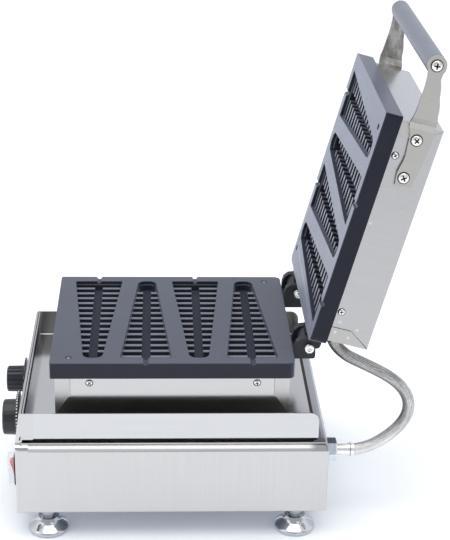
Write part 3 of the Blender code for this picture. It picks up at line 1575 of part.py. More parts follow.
def cable_gland():
    """A domed gland for the mains cable, with an open bore."""
    step = CABLE_GLAND_LENGTH
    profile = [
        (0, step),
        (CABLE_GLAND_RADIUS * 0.6, step),
        (CABLE_GLAND_RADIUS * 0.85, step * 0.7),
        (CABLE_GLAND_RADIUS, step * 0.55),
        (CABLE_GLAND_RADIUS, 0),
        (GLAND_THREAD_RADIUS, 0),
        (GLAND_THREAD_RADIUS, -GLAND_THREAD_LENGTH),
        (0, -GLAND_THREAD_LENGTH),
    ]
    place = Vector((-HOSE_X, REAR_Y + FIT, cable_gland_z()))
    gland = turned("mains_gland", profile, place, "Y")
    length = GLAND_THREAD_LENGTH + step + 2 * OVERRUN
    start = place - Vector((0, GLAND_THREAD_LENGTH + OVERRUN, 0))
    bore = rod("gland_bore", CABLE_BORE_RADIUS, start, length, "Y", 16)
    return finish(cut(gland, bore), BLACK_PLASTIC)


def terminal_block():
    floor = UNDERSIDE_Z + 2 * (SHEET + FIT)
    low = (-TERMINAL_LENGTH / 2, REAR_Y - TERMINAL_SETBACK, floor)
    high = (TERMINAL_LENGTH / 2, low[1] + TERMINAL_WIDTH, floor + TERMINAL_HEIGHT)
    return finish(box("terminal_block", low, high, CONTROL_BEVEL, 1), NYLON)


# Assembly


def hang_on_lid(pieces):
    """Puts pieces that were built closed under an empty on the hinge axis, and opens it."""
    pivot = bpy.data.objects.new("lid_pivot", None)
    PARTS.objects.link(pivot)
    pivot.location = (0, HINGE_Y, HINGE_Z)
    operands = [m.object for piece in pieces for m in piece.modifiers if m.type == "BOOLEAN"]
    nested = [m.object for piece in operands for m in piece.modifiers if m.type == "BOOLEAN"]
    bpy.context.view_layer.update()
    for piece in [*pieces, *operands, *nested]:
        piece.parent = pivot
        piece.matrix_parent_inverse = pivot.matrix_world.inverted()
    pivot.rotation_euler = (-LID_OPEN_ANGLE, 0, 0)


def rear_reach():
    """How far back the open lid's cover comes, at its bent front edge."""
    top = UPPER_BACK_Z + FIT + COVER_DEPTH
    return opened((0, COVER_FRONT_Y + COVER_BEND, top - COVER_BEND)).y + COVER_BEND


def centre_on_origin():
    """Moves everything so that the origin is under the middle of the machine, knobs and lid included."""
    front_reach = knob_back() - SKIRT_THICKNESS - max(TIMER_KNOB_LENGTH, THERMOSTAT_KNOB_LENGTH)
    for obj in bpy.data.objects:
        if obj.parent is None:
            obj.location.y -= (rear_reach() + front_reach) / 2


def base_pieces():
    body_shell()
    front_panel()
    bottom_plate()
    for name, x, y in foot_places():
        foot(name, x, y)
    deck_gasket()
    deck_tray()
    pedestal()
    lower_cover()
    cast_plate("lower_plate", FACE_Z, -1)
    heating("lower", LOWER_BACK_Z, -1)
    sensor_bulb()
    terminal_block()
    cable_gland()
    hose_nut()
    hose_ferrule()


def hinge_pieces():
    hinge_bracket("hinge_bracket_left", -1, LEFT_EAR_DROP)
    hinge_bracket("hinge_bracket_right", 1, RIGHT_EAR_DROP)
    for sign, side in ((-1, "left"), (1, "right")):
        hinge_bolt(f"hinge_bolt_{side}", sign)
        hinge_nut(f"hinge_nut_{side}", sign)


def lid_pieces():
    pieces = [cast_plate("upper_plate", UPPER_FACE_Z, 1), upper_cover(), handle_bar(), lid_boot()]
    pieces += heating("upper", UPPER_BACK_Z, 1)
    pieces += handle_screws()
    for sign, side in ((-1, "left"), (1, "right")):
        pieces.append(hinge_knuckle(f"hinge_knuckle_{side}", sign))
        pieces.append(handle_strap(f"handle_strap_{side}", sign))
    hang_on_lid(pieces)


def control_pieces():
    control_body("timer_body", TIMER_X)
    control_body("thermostat_body", THERMOSTAT_X)
    control_shaft("timer_shaft", TIMER_X)
    control_shaft("thermostat_shaft", THERMOSTAT_X)
    knob("timer_knob", TIMER_X, TIMER_KNOB_RADIUS, TIMER_KNOB_LENGTH, TIMER_SKIRT_RADIUS, 0)
    knob(
        "thermostat_knob",
        THERMOSTAT_X,
        THERMOSTAT_KNOB_RADIUS,
        THERMOSTAT_KNOB_LENGTH,
        THERMOSTAT_SKIRT_RADIUS,
        KNOB_FLUTES,
    )
    pilot_lamp("pilot_lamp_timer", TIMER_X, AMBER_LENS)
    pilot_lamp("pilot_lamp_heat", THERMOSTAT_X, GREEN_LENS)
    switch_housing()
    rocker()
    switch_boot()


base_pieces()
hinge_pieces()
lid_pieces()
control_pieces()
hose()
centre_on_origin()
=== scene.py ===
"""The waffle stick maker dressed for its picture: finishes, fasteners, hose, dials and studio."""

import logging
import math
from dataclasses import dataclass, field
from enum import Enum
from typing import Callable

import bmesh
import bpy
from mathutils import Matrix, Vector

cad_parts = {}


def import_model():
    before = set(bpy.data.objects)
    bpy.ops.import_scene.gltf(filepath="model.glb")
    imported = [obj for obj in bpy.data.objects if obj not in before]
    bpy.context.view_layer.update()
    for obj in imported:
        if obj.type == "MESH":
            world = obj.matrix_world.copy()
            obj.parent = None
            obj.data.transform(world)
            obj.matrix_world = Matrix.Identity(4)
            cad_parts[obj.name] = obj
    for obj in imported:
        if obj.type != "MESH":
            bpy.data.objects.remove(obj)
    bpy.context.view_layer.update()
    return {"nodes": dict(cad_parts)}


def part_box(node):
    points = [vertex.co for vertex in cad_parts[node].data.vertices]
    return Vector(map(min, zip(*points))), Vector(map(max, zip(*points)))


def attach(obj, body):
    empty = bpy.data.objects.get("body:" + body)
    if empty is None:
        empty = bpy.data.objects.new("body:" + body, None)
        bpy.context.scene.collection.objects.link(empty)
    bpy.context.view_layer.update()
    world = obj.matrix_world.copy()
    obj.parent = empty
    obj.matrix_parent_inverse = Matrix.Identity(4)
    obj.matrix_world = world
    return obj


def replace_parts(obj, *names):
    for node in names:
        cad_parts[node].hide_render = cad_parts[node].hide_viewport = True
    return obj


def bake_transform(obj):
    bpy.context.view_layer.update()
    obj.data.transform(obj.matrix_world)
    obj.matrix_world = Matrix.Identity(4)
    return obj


LOG = logging.getLogger("waffle_stick_maker")
MM = 0.001
FIT = 0.3 * MM
FULL_TURN = 2 * math.pi
OPEN_ANGLE = math.radians(104.7)

Colour = tuple[float, float, float]
Spot = tuple[float, float]
Value = "float | Sock"


def shade(tone: Colour, share: float) -> Colour:
    """A tone made darker or lighter, each part of it up to 1 at most."""
    return tuple(min(1, part * share) for part in tone)


def between(a: object, b: object, c: object, d: object, t: float) -> object:
    """A place on the smooth curve through four knots: b where t is 0 and c where it is 1."""
    pull = (c - a) * t + (2 * a - 5 * b + 4 * c - d) * t**2 + (3 * b - a - 3 * c + d) * t**3
    return b + pull / 2


def length_of(path: list[Vector]) -> float:
    """How long a path is, in metres."""
    return sum((b - a).length for a, b in zip(path, path[1:]))


class Axis(Enum):
    """A way along one of the machine's axes."""

    RIGHT = (1, 0, 0)
    LEFT = (-1, 0, 0)
    REAR = (0, 1, 0)
    FRONT = (0, -1, 0)

    def turn(self) -> Matrix:
        """The turn that stands a piece modelled along +Z up along this way."""
        return Vector(self.value).to_track_quat("Z", "Y").to_matrix().to_4x4()


class Side(Enum):
    """The machine's two sides, by the sign of x there."""

    RIGHT = 1
    LEFT = -1

    def word(self) -> str:
        """The side's name in the record's words."""
        return self.name.lower()

    def tag(self) -> str:
        """The letter that stands for the side in a piece's name."""
        return self.word()[0]

    def out(self) -> Matrix:
        """The turn that makes a piece modelled along +Z face out on this side."""
        return Axis[self.name].turn()


LEFT_FIRST = (Side.LEFT, Side.RIGHT)


class Body(str, Enum):
    """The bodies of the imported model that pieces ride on."""

    BASE = "base"
    LID = "lid"
    TIMER = "timer_knob"
    THERMOSTAT = "thermostat_knob"


# Shader maths


class Sock:
    """One output socket, with Python's operators made into Math nodes."""

    def __init__(self, graph: "Graph", socket: bpy.types.NodeSocket) -> None:
        """Keeps the graph that the socket belongs to, and the socket."""
        self.graph = graph
        self.socket = socket

    def _sum(self, operation: str, *values: Value) -> "Sock":
        """Adds one Math node on these values."""
        sockets = dict(enumerate(values))
        return self.graph.node("ShaderNodeMath", {"operation": operation}, sockets)

    def __add__(self, other: Value) -> "Sock":
        """self + other."""
        return self._sum("ADD", self, other)

    def __radd__(self, other: Value) -> "Sock":
        """other + self."""
        return self._sum("ADD", other, self)

    def __sub__(self, other: Value) -> "Sock":
        """self - other."""
        return self._sum("SUBTRACT", self, other)

    def __rsub__(self, other: Value) -> "Sock":
        """other - self."""
        return self._sum("SUBTRACT", other, self)

    def __mul__(self, other: Value) -> "Sock":
        """self * other."""
        return self._sum("MULTIPLY", self, other)

    def __rmul__(self, other: Value) -> "Sock":
        """other * self."""
        return self._sum("MULTIPLY", other, self)

    def __abs__(self) -> "Sock":
        """The size of self, without its sign."""
        return self._sum("ABSOLUTE", self)

    def sine(self) -> "Sock":
        """The sine of self."""
        return self._sum("SINE", self)

    def above(self, other: Value) -> "Sock":
        """1 where self is more than other, else 0."""
        return self._sum("GREATER_THAN", self, other)

    def most(self, other: Value) -> "Sock":
        """The larger of self and other."""
        return self._sum("MAXIMUM", self, other)

    def step(self, low: float, high: float) -> "Sock":
        """A smooth step.

        Args:
            low: where self gives 0.
            high: where self gives 1.

        Returns:
            The eased value between 0 and 1.
        """
        return self.graph.node(
            "ShaderNodeMapRange",
            {"interpolation_type": "SMOOTHSTEP"},
            {"Value": self, "From Min": low, "From Max": high},
        )


class Graph:
    """A node tree of a material or of the world."""

    def __init__(self, tree: bpy.types.NodeTree) -> None:
        """Keeps the tree that nodes are added to."""
        self.tree = tree

    def plug(self, target: bpy.types.NodeSocket, value: object) -> None:
        """Gives a socket a link or a plain value.

        Args:
            target: the input socket.
            value: a Sock, a number, a colour or a vector.
        """
        if isinstance(value, Sock):
            self.tree.links.new(value.socket, target)
        elif target.type == "RGBA" and len(value) == 3:
            target.default_value = (*value, 1)
        else:
            target.default_value = value

    def node(
        self,
        kind: str,
        settings: dict[str, object] | None = None,
        sockets: dict[str | int, object] | None = None,
        output: str | int = 0,
    ) -> Sock:
        """Adds any node.

        Args:
            kind: the node's type.
            settings: its properties, which are set first.
            sockets: the values or links of its inputs.
            output: the output that is wanted.

        Returns:
            That output.
        """
        made = self.tree.nodes.new(kind)
        for key, value in (settings or {}).items():
            setattr(made, key, value)
        for key, value in (sockets or {}).items():
            self.plug(made.inputs[key], value)
        return Sock(self, made.outputs[output])

    def blend(self, factor: Value, one: "Colour | Sock", two: "Colour | Sock") -> Sock:
        """A colour between two: one where the factor is 0 and two where it is 1."""
        sockets = {0: factor, 6: one, 7: two}
        return self.node("ShaderNodeMix", {"data_type": "RGBA"}, sockets, 2)

    def part(self, vector: Sock, axis: str) -> Sock:
        """One coordinate, X, Y or Z, of a vector."""
        return self.node("ShaderNodeSeparateXYZ", None, {0: vector}, axis)


class Recipe(Graph):
    """One node material, made from a Principled shader."""

    def __init__(self, name: str) -> None:
        """Starts an empty material.

        Args:
            name: the material's name.
        """
        self.material = bpy.data.materials.new(name)
        self.material.use_nodes = True
        super().__init__(self.material.node_tree)
        self.shader = self.tree.nodes["Principled BSDF"]

    def place(self, scale: tuple[float, float, float] = (1, 1, 1), lean: float = 0) -> Sock:
        """The piece's own coordinates.

        Args:
            scale: cycles per metre along X, Y and Z.
            lean: a turn about X that comes first, for the open lid.

        Returns:
            The scaled coordinates.
        """
        here = self.node("ShaderNodeTexCoord", output="Object")
        if lean:
            here = self.leant(here, lean)
        return self.stretched(here, scale)

    def leant(self, vector: Sock, lean: float) -> Sock:
        """A vector turned about X."""
        return self.node("ShaderNodeMapping", None, {"Vector": vector, "Rotation": (lean, 0, 0)})

    def stretched(self, vector: Sock, scale: tuple[float, float, float]) -> Sock:
        """A vector times a scale along each axis."""
        return self.node("ShaderNodeMapping", None, {"Vector": vector, "Scale": scale})

    def facing(self) -> Sock:
        """The surface's own normal."""
        return self.node("ShaderNodeTexCoord", output="Normal")

    def noise(self, where: Sock, scale: float = 1, detail: float = 2, rough: float = 0.5) -> Sock:
        """Cloudy noise between 0 and 1, its scale in cycles for each unit of the coordinates."""
        sockets = {"Vector": where, "Scale": scale, "Detail": detail, "Roughness": rough}
        return self.node("ShaderNodeTexNoise", None, sockets)

    def bump(self, height: Sock, depth: float, strength: float = 1.0) -> None:
        """Feeds the shader's Normal from a height of 0 to 1, whose depth in metres is that of 1."""
        sockets = {"Height": height, "Distance": depth, "Strength": strength}
        self.plug(self.shader.inputs["Normal"], self.node("ShaderNodeBump", None, sockets))

    def set(self, **values: object) -> None:
        """Sets the shader's inputs, an underscore standing for a space."""
        for key, value in values.items():
            self.plug(self.shader.inputs[key.replace("_", " ")], value)


# Finishes


@dataclass(frozen=True)
class Finish:
    """A finish of the machine, which makes its own material."""

    name: str

    def mix(self, r: Recipe) -> None:
        """Mixes the finish into an empty recipe."""
        raise NotImplementedError(self.name)

    def make(self) -> bpy.types.Material:
        """Builds the material.

        Returns:
            The material, under the finish's name.
        """
        recipe = Recipe(self.name)
        self.mix(recipe)
        return recipe.material


@dataclass(frozen=True)
class BrushedSheet(Finish):
    """Stainless sheet with a brushed grain, faint clouding and fingermarks."""

    tone: Colour = (0.565, 0.558, 0.555)
    grain: tuple[float, float, float] = (1300, 1300, 7)
    roughness: float = 0.24
    lean: float = 0

    def stains_and_light(self, _: Recipe, tint: Sock) -> Sock:
        """The sheet's colour with its stains and painted light, of which a plain sheet has none."""
        return tint

    def bare(self, _: Recipe) -> Value:
        """How metallic the sheet is: fully on a plain sheet."""
        return 1.0

    def mix(self, r: Recipe) -> None:
        """Brushes the sheet along its grain, then clouds and smears it and adds its stains and
        painted light.

        Args:
            r: the recipe that it goes into.
        """
        streak = r.noise(r.place(self.grain, self.lean), 1, 3, 0.6)
        cloud = r.noise(r.place(), 9, 3, 0.5)
        smear = r.noise(r.place(), 38, 4, 0.62).step(0.55, 0.75)
        dark, light = shade(self.tone, 0.95), shade(self.tone, 1.03)
        sheet = r.blend(streak.step(0.25, 0.75), dark, light)
        tint = r.blend(cloud.step(0.35, 0.7) * 0.35, sheet, dark)
        rough = self.roughness + (streak - 0.5) * 0.06 + smear * 0.03 + (cloud - 0.5) * 0.04
        r.set(Base_Color=self.stains_and_light(r, tint), Metallic=self.bare(r), Roughness=rough)
        r.bump(streak, 0.01 * MM, 0.3)


@dataclass(frozen=True)
class TraySheet(BrushedSheet):
    """The deck's sheet: a painted dark reflection on the left rim's inner face, the front wall's
    inner face browner and the right rim's inner face darker and dull.

    The reaches are in metres: out from the middle to the rims, and forward of the front wall.
    """

    front: float = 0
    rim_reach: Spot = (0.08, 0.12)
    wall_reach: Spot = (0, 0.0004)
    # The left rim's tone is a painted dark reflection on its inner face; the right rim's and the
    # front wall's are plain darker tones.
    left_rim_shade: Colour = (0.20, 0.19, 0.175)
    right_rim_tone: Colour = (0.15, 0.147, 0.142)
    front_wall_brown: Colour = (0.15, 0.143, 0.132)

    def stains_and_light(self, r: Recipe, tint: Sock) -> Sock:
        """Darkens the faces that look in over the deck: a painted dark reflection on the left rim,
        browner on the front wall, darker grey on the right rim.

        Args:
            r: the recipe that is being mixed.
            tint: the clean sheet's colour.

        Returns:
            The colour with its painted reflection and darker faces.
        """
        here, facing = r.place(), r.facing()
        across, inward = r.part(here, "X"), r.part(facing, "X")
        cloud = r.noise(r.place((1, 1, 0.4)), 60, 4, 0.6)
        rim = (0 - across).step(*self.rim_reach) * inward.step(0.6, 0.9)
        ahead = self.front - r.part(here, "Y")
        wall = ahead.step(*self.wall_reach) * r.part(facing, "Y").step(0.3, 0.6)
        # Painted dark reflection on the left rim's inner face.
        film = r.blend(rim * 0.55 * (0.75 + cloud * 0.4), tint, self.left_rim_shade)
        film = r.blend(self.right_rim_dull(r), film, self.right_rim_tone)
        return r.blend(wall * (0.7 + cloud * 0.35), film, self.front_wall_brown)

    def right_rim_dull(self, r: Recipe) -> Sock:
        """Where the right rim's inner face is darker and dull."""
        right = r.part(r.place(), "X").step(*self.rim_reach)
        return right * (0 - r.part(r.facing(), "X")).step(0.6, 0.9)

    def bare(self, r: Recipe) -> Value:
        """The right rim's inner face is mostly not metallic."""
        return 1 - self.right_rim_dull(r) * 0.75


@dataclass(frozen=True)
class ShellSheet(BrushedSheet):
    """The body's sheet, with painted shade on the upper side of its rear ledge.

    The reaches are in metres: behind the rear wall, so below 0 on the ledge in front of it, and
    out from the middle to the ledge's corners.
    """

    rear: float = 0
    ledge_reach: Spot = (-0.026, -0.014)
    corner_reach: Spot = (0.08, 0.145)
    # Painted shade on the rear ledge, darker at its corners.
    ledge_shade_tone: Colour = (0.40, 0.41, 0.44)
    corner_shade_tone: Colour = (0.20, 0.20, 0.215)

    def stains_and_light(self, r: Recipe, tint: Sock) -> Sock:
        """Paints shade on the upper side of the rear ledge, darkest at its corners.

        Args:
            r: the recipe that is being mixed.
            tint: the clean sheet's colour.

        Returns:
            The dulled colour.
        """
        here = r.place()
        behind = (r.part(here, "Y") - self.rear).step(*self.ledge_reach)
        ledge = behind * r.part(r.facing(), "Z").step(0.1, 0.6)
        corner = abs(r.part(here, "X")).step(*self.corner_reach)
        return r.blend(ledge, tint, r.blend(corner, self.ledge_shade_tone, self.corner_shade_tone))


@dataclass(frozen=True)
class LidSheet(BrushedSheet):
    """The lid cover's sheet, with a painted highlight on the end that looks up when the lid stands
    open.
    """

    # Painted highlight on the end that looks up.
    lit_end_tone: Colour = (0.60, 0.61, 0.63)

    def stains_and_light(self, r: Recipe, tint: Sock) -> Sock:
        """Paints a highlight on the front end, which looks up."""
        return r.blend(r.part(r.facing(), "Z").step(0.45, 0.85), tint, self.lit_end_tone)


@dataclass(frozen=True)
class StrapSheet(BrushedSheet):
    """The straps' sheet, browner and darker in clouds on the faces that look at each other."""

    brown: Colour = (0.21, 0.20, 0.185)
    pale: Colour = (0.47, 0.46, 0.445)

    def stains_and_light(self, r: Recipe, tint: Sock) -> Sock:
        """Browns the inner faces in clouds.

        Args:
            r: the recipe that is being mixed.
            tint: the clean sheet's colour.

        Returns:
            The browned colour.
        """
        inward = (0 - r.part(r.place(), "X") * r.part(r.facing(), "X")).step(0.03, 0.06)
        cloud = r.noise(r.place((1, 1, 0.6)), 70, 4, 0.62).step(0.35, 0.7)
        return r.blend(inward, tint, r.blend(cloud, self.brown, self.pale))


@dataclass(frozen=True)
class CoatedCasting(Finish):
    """Cast aluminium under a dark non-stick coat: fine grain, sparkle and oil marks, a painted
    sheen on the working face, painted shade below it and painted highlights on the rib crests.

    The depths are in metres below the plate's working face.
    """

    face: float = 216.0 * MM
    away: int = -1
    lean: float = 0
    half_width: float = 117 * MM
    # tone is the colour below the working face, darker as painted shade; top is the working face's
    # colour, lighter as a painted sheen.
    tone: Colour = (0.006, 0.007, 0.0155)
    top: Colour = (0.049, 0.055, 0.075)
    rib_highlight_tone: Colour = (0.17, 0.18, 0.21)
    spark_tone: Colour = (0.07, 0.076, 0.11)
    sheen_tone: Colour = (0.74, 0.79, 1.0)
    roughness: float = 0.3
    sheen: float = 0.2
    nap: float = 0.6
    edge_depth: Spot = (0.0003, 0.0012)
    crest_start: Spot = (0.0036, 0.0042)
    crest_end: Spot = (0.0049, 0.0056)
    floor_depth: Spot = (0.006, 0.009)

    def mix(self, r: Recipe) -> None:
        """Coats the casting, by how deep a place lies below the plate's working face: painted sheen
        on the face, painted shade below it and a painted highlight on the rib crests.

        Args:
            r: the recipe that it goes into.
        """
        grain = r.noise(r.place(), 1300, 3, 0.6)
        pit = r.noise(r.place(), 420, 2, 0.5)
        cloud = r.noise(r.place(), 16, 4, 0.6)
        spark = grain.step(0.66, 0.78)
        depth = (r.part(r.place((1, 1, 1), self.lean), "Z") - self.face) * self.away
        surface = 1 - depth.step(*self.edge_depth)
        wiped = cloud.step(0.3, 0.8) * surface
        # Painted highlight on the rib crests, kept off the outer sides and the pockets' end walls.
        crest = depth.step(*self.crest_start) * (1 - depth.step(*self.crest_end))
        turned = r.leant(r.facing(), self.lean)
        within = (self.half_width - abs(r.part(r.place(), "X"))).step(0, MM)
        within = within * (1 - abs(r.part(turned, "Y")).step(0.6, 0.9))
        crest = crest * within
        worn = r.blend(cloud.step(0.35, 0.75), self.tone, shade(self.tone, 1.35))
        # The working face lighter as a painted sheen over the painted shade below it.
        topped = r.blend(surface, worn, self.top)
        oiled = r.blend(wiped * 0.5, topped, shade(self.top, 1.3))
        ribbed = r.blend(crest * (0.5 + pit * 0.5), oiled, self.rib_highlight_tone)
        tint = r.blend(spark * 0.3, ribbed, self.spark_tone)
        rough = self.roughness + (cloud - 0.5) * 0.2 + (grain - 0.5) * 0.12 - crest * 0.06
        rough = rough + depth.step(*self.floor_depth) * within * 0.5
        r.set(Base_Color=tint, Roughness=rough, IOR=1.31, Sheen_Weight=self.sheen)
        r.set(Sheen_Roughness=self.nap, Sheen_Tint=self.sheen_tone)
        r.bump(grain * 0.5 + pit, 0.12 * MM, 0.55)


@dataclass(frozen=True)
class Plated(Finish):
    """Bright plating with a little smudging."""

    tone: Colour = (0.80, 0.81, 0.83)
    roughness: float = 0.07

    def mix(self, r: Recipe) -> None:
        """Plates it bright and smudges it.

        Args:
            r: the recipe that it goes into.
        """
        smudge = r.noise(r.place(), 90, 4, 0.6).step(0.4, 0.75)
        fine = r.noise(r.place(), 900, 2, 0.5)
        tint = r.blend(smudge * 0.4, self.tone, shade(self.tone, 0.86))
        r.set(Base_Color=tint, Metallic=1.0, Roughness=self.roughness + smudge * 0.09)
        r.bump(fine, 0.02 * MM, 0.25)


@dataclass(frozen=True)
class BlueZinc(Finish):
    """Blue passivated zinc, with painted shade on the flats that look up."""

    blue: Colour = (0.74, 0.82, 0.93)
    pale: Colour = (0.84, 0.90, 0.97)
    upper_flat_shade: Colour = (0.035, 0.04, 0.075)

    def mix(self, r: Recipe) -> None:
        """Clouds the zinc and paints shade on its upper flats.

        Args:
            r: the recipe that it goes into.
        """
        cloud = r.noise(r.place(), 240, 4, 0.6)
        film = r.blend(cloud.step(0.3, 0.7), self.blue, self.pale)
        # Painted shade on the flats that look up.
        oil = r.part(r.facing(), "Z").step(0.45, 0.62) * (0.85 + cloud * 0.15)
        r.set(Base_Color=r.blend(oil, film, self.upper_flat_shade))
        r.set(Metallic=1.0, Roughness=0.2 + cloud * 0.12)
        r.bump(cloud, 0.05 * MM, 0.4)


@dataclass(frozen=True)
class Moulded(Finish):
    """Plastic, rubber, board or paint: a tone with texture and a sheen that varies."""

    tone: Colour
    roughness: float = 0.4
    texture: float = 900
    depth: float = 0.08 * MM
    mottle: float = 0.2
    coat: float = 0

    def mix(self, r: Recipe) -> None:
        """Mottles the tone and gives it its texture.

        Args:
            r: the recipe that it goes into.
        """
        fine = r.noise(r.place(), self.texture, 3, 0.6)
        cloud = r.noise(r.place(), 45, 3, 0.55)
        low, high = shade(self.tone, 1 - self.mottle), shade(self.tone, 1 + self.mottle)
        tint = r.blend(cloud.step(0.3, 0.7) * 0.6 + fine * 0.4, low, high)
        rough = self.roughness + (cloud - 0.5) * 0.14 + (fine - 0.5) * 0.1
        r.set(Base_Color=tint, Roughness=rough, Coat_Weight=self.coat)
        r.bump(fine, self.depth, 0.6)


@dataclass(frozen=True)
class ClearVinyl(Finish):
    """The soft clear boot: thin, glossy, a little cloudy."""

    clouded: Colour = (0.86, 0.9, 0.95)
    clear: Colour = (0.97, 0.98, 1.0)

    def mix(self, r: Recipe) -> None:
        """Clouds the clear skin.

        Args:
            r: the recipe that it goes into.
        """
        cloud = r.noise(r.place(), 180, 3, 0.6)
        tint = r.blend(cloud, self.clouded, self.clear)
        r.set(Base_Color=tint, Roughness=0.12 + cloud * 0.12, Alpha=0.1 + cloud * 0.12)
        r.bump(cloud, 0.1 * MM, 0.4)


@dataclass(frozen=True)
class LampLens(Finish):
    """A coloured lens with fine grain moulded inside."""

    tone: Colour

    def mix(self, r: Recipe) -> None:
        """Colours the lens, a little lit.

        Args:
            r: the recipe that it goes into.
        """
        grain = r.noise(r.place(), 700, 2, 0.5)
        tint = r.blend(grain, shade(self.tone, 0.6), self.tone)
        r.set(Base_Color=tint, Roughness=0.14 + grain * 0.1, Emission_Color=tint)
        r.set(Emission_Strength=0.15, Coat_Weight=0.6)
        r.bump(grain, 0.1 * MM, 0.4)


@dataclass(frozen=True)
class SteelBraid(Finish):
    """Woven stainless wire: flat bundles that pass over and under each other on the UV map.

    Along the hose the map counts once for each girth of it, from 0 at the ferrule to about 5 at
    the lid, and round it from 0 to 1. The runs are stretches of it along the hose.
    """

    bundles: int = 40
    pitch: float = 3.6
    wires: int = 3
    strand_scale: tuple[float, float, float] = (46, 1.4, 1)
    dull_wire: Colour = (0.22, 0.22, 0.217)
    bright_wire: Colour = (0.80, 0.795, 0.78)
    gap_tone: Colour = (0.09, 0.09, 0.09)
    braid_shade_tone: Colour = (0.075, 0.075, 0.08)
    pale_end_tone: Colour = (0.95, 0.95, 0.95)
    shade_run: Spot = (0.8, 2.4)
    lid_run: Spot = (3.5, 5.0)
    darker_run: Spot = (1.6, 4.2)
    pale_end_run: Spot = (0.5, 1.7)

    def mix(self, r: Recipe) -> None:
        """Weaves the bundles, paints shade along one side of the tube that grows towards the lid,
        darkens the whole braid towards the lid and lightens it near the ferrule.

        Args:
            r: the recipe that it goes into.
        """
        chart = r.node("ShaderNodeUVMap", {"uv_map": "weave"})
        around, along = r.part(chart, "X"), r.part(chart, "Y")
        left = around * (self.bundles / 2) + along * self.pitch
        right = around * (self.bundles / 2) - along * self.pitch
        over = ((left + right) * math.pi).sine() * ((left - right) * math.pi).sine()
        over = over.above(0)
        crown_left = abs((left * math.pi).sine())
        crown_right = abs((right * math.pi).sine())
        wire_left = abs((left * (math.pi * self.wires)).sine())
        wire_right = abs((right * (math.pi * self.wires)).sine())
        height = over * (crown_left * 0.7 + wire_left * 0.3)
        height = height + (1 - over) * (crown_right * 0.7 + wire_right * 0.3)
        strand = r.noise(r.stretched(chart, self.strand_scale), 1, 3, 0.7)
        wire = r.blend(strand.step(0.35, 0.65), self.dull_wire, self.bright_wire)
        woven = r.blend(height.step(0.1, 0.7), self.gap_tone, wire)
        # Painted shade along the side of the tube on the inside of its bend, stronger towards the
        # lid, and the whole braid darker towards the lid.
        braid_shade = (around * FULL_TURN + 0.55).sine().step(0.55, 0.95)
        run = 0.1 + along.step(*self.shade_run) * 0.5 + along.step(*self.lid_run) * 0.15
        braid_shade = (braid_shade * run).most(along.step(*self.darker_run) * 0.38)
        tint = r.blend(braid_shade, woven, self.braid_shade_tone)
        # Lighter near the ferrule.
        tint = r.blend((1 - along.step(*self.pale_end_run)) * 0.5, tint, self.pale_end_tone)
        r.set(Base_Color=tint, Metallic=1.0, Roughness=0.27 - height * 0.08)
        r.bump(height, 0.4 * MM, 0.7)


@dataclass(frozen=True)
class HeatTint(Finish):
    """The faint straw-coloured ring that a spot weld leaves in sheet steel."""

    straw: Colour = (0.56, 0.53, 0.46)
    pale: Colour = (0.60, 0.59, 0.57)

    def mix(self, r: Recipe) -> None:
        """Clouds the ring from straw to steel.

        Args:
            r: the recipe that it goes into.
        """
        cloud = r.noise(r.place(), 260, 4, 0.6)
        tint = r.blend(cloud.step(0.3, 0.7), self.straw, self.pale)
        r.set(Base_Color=tint, Metallic=1.0, Roughness=0.3 + cloud * 0.15)
        r.bump(cloud, 0.05 * MM, 0.5)


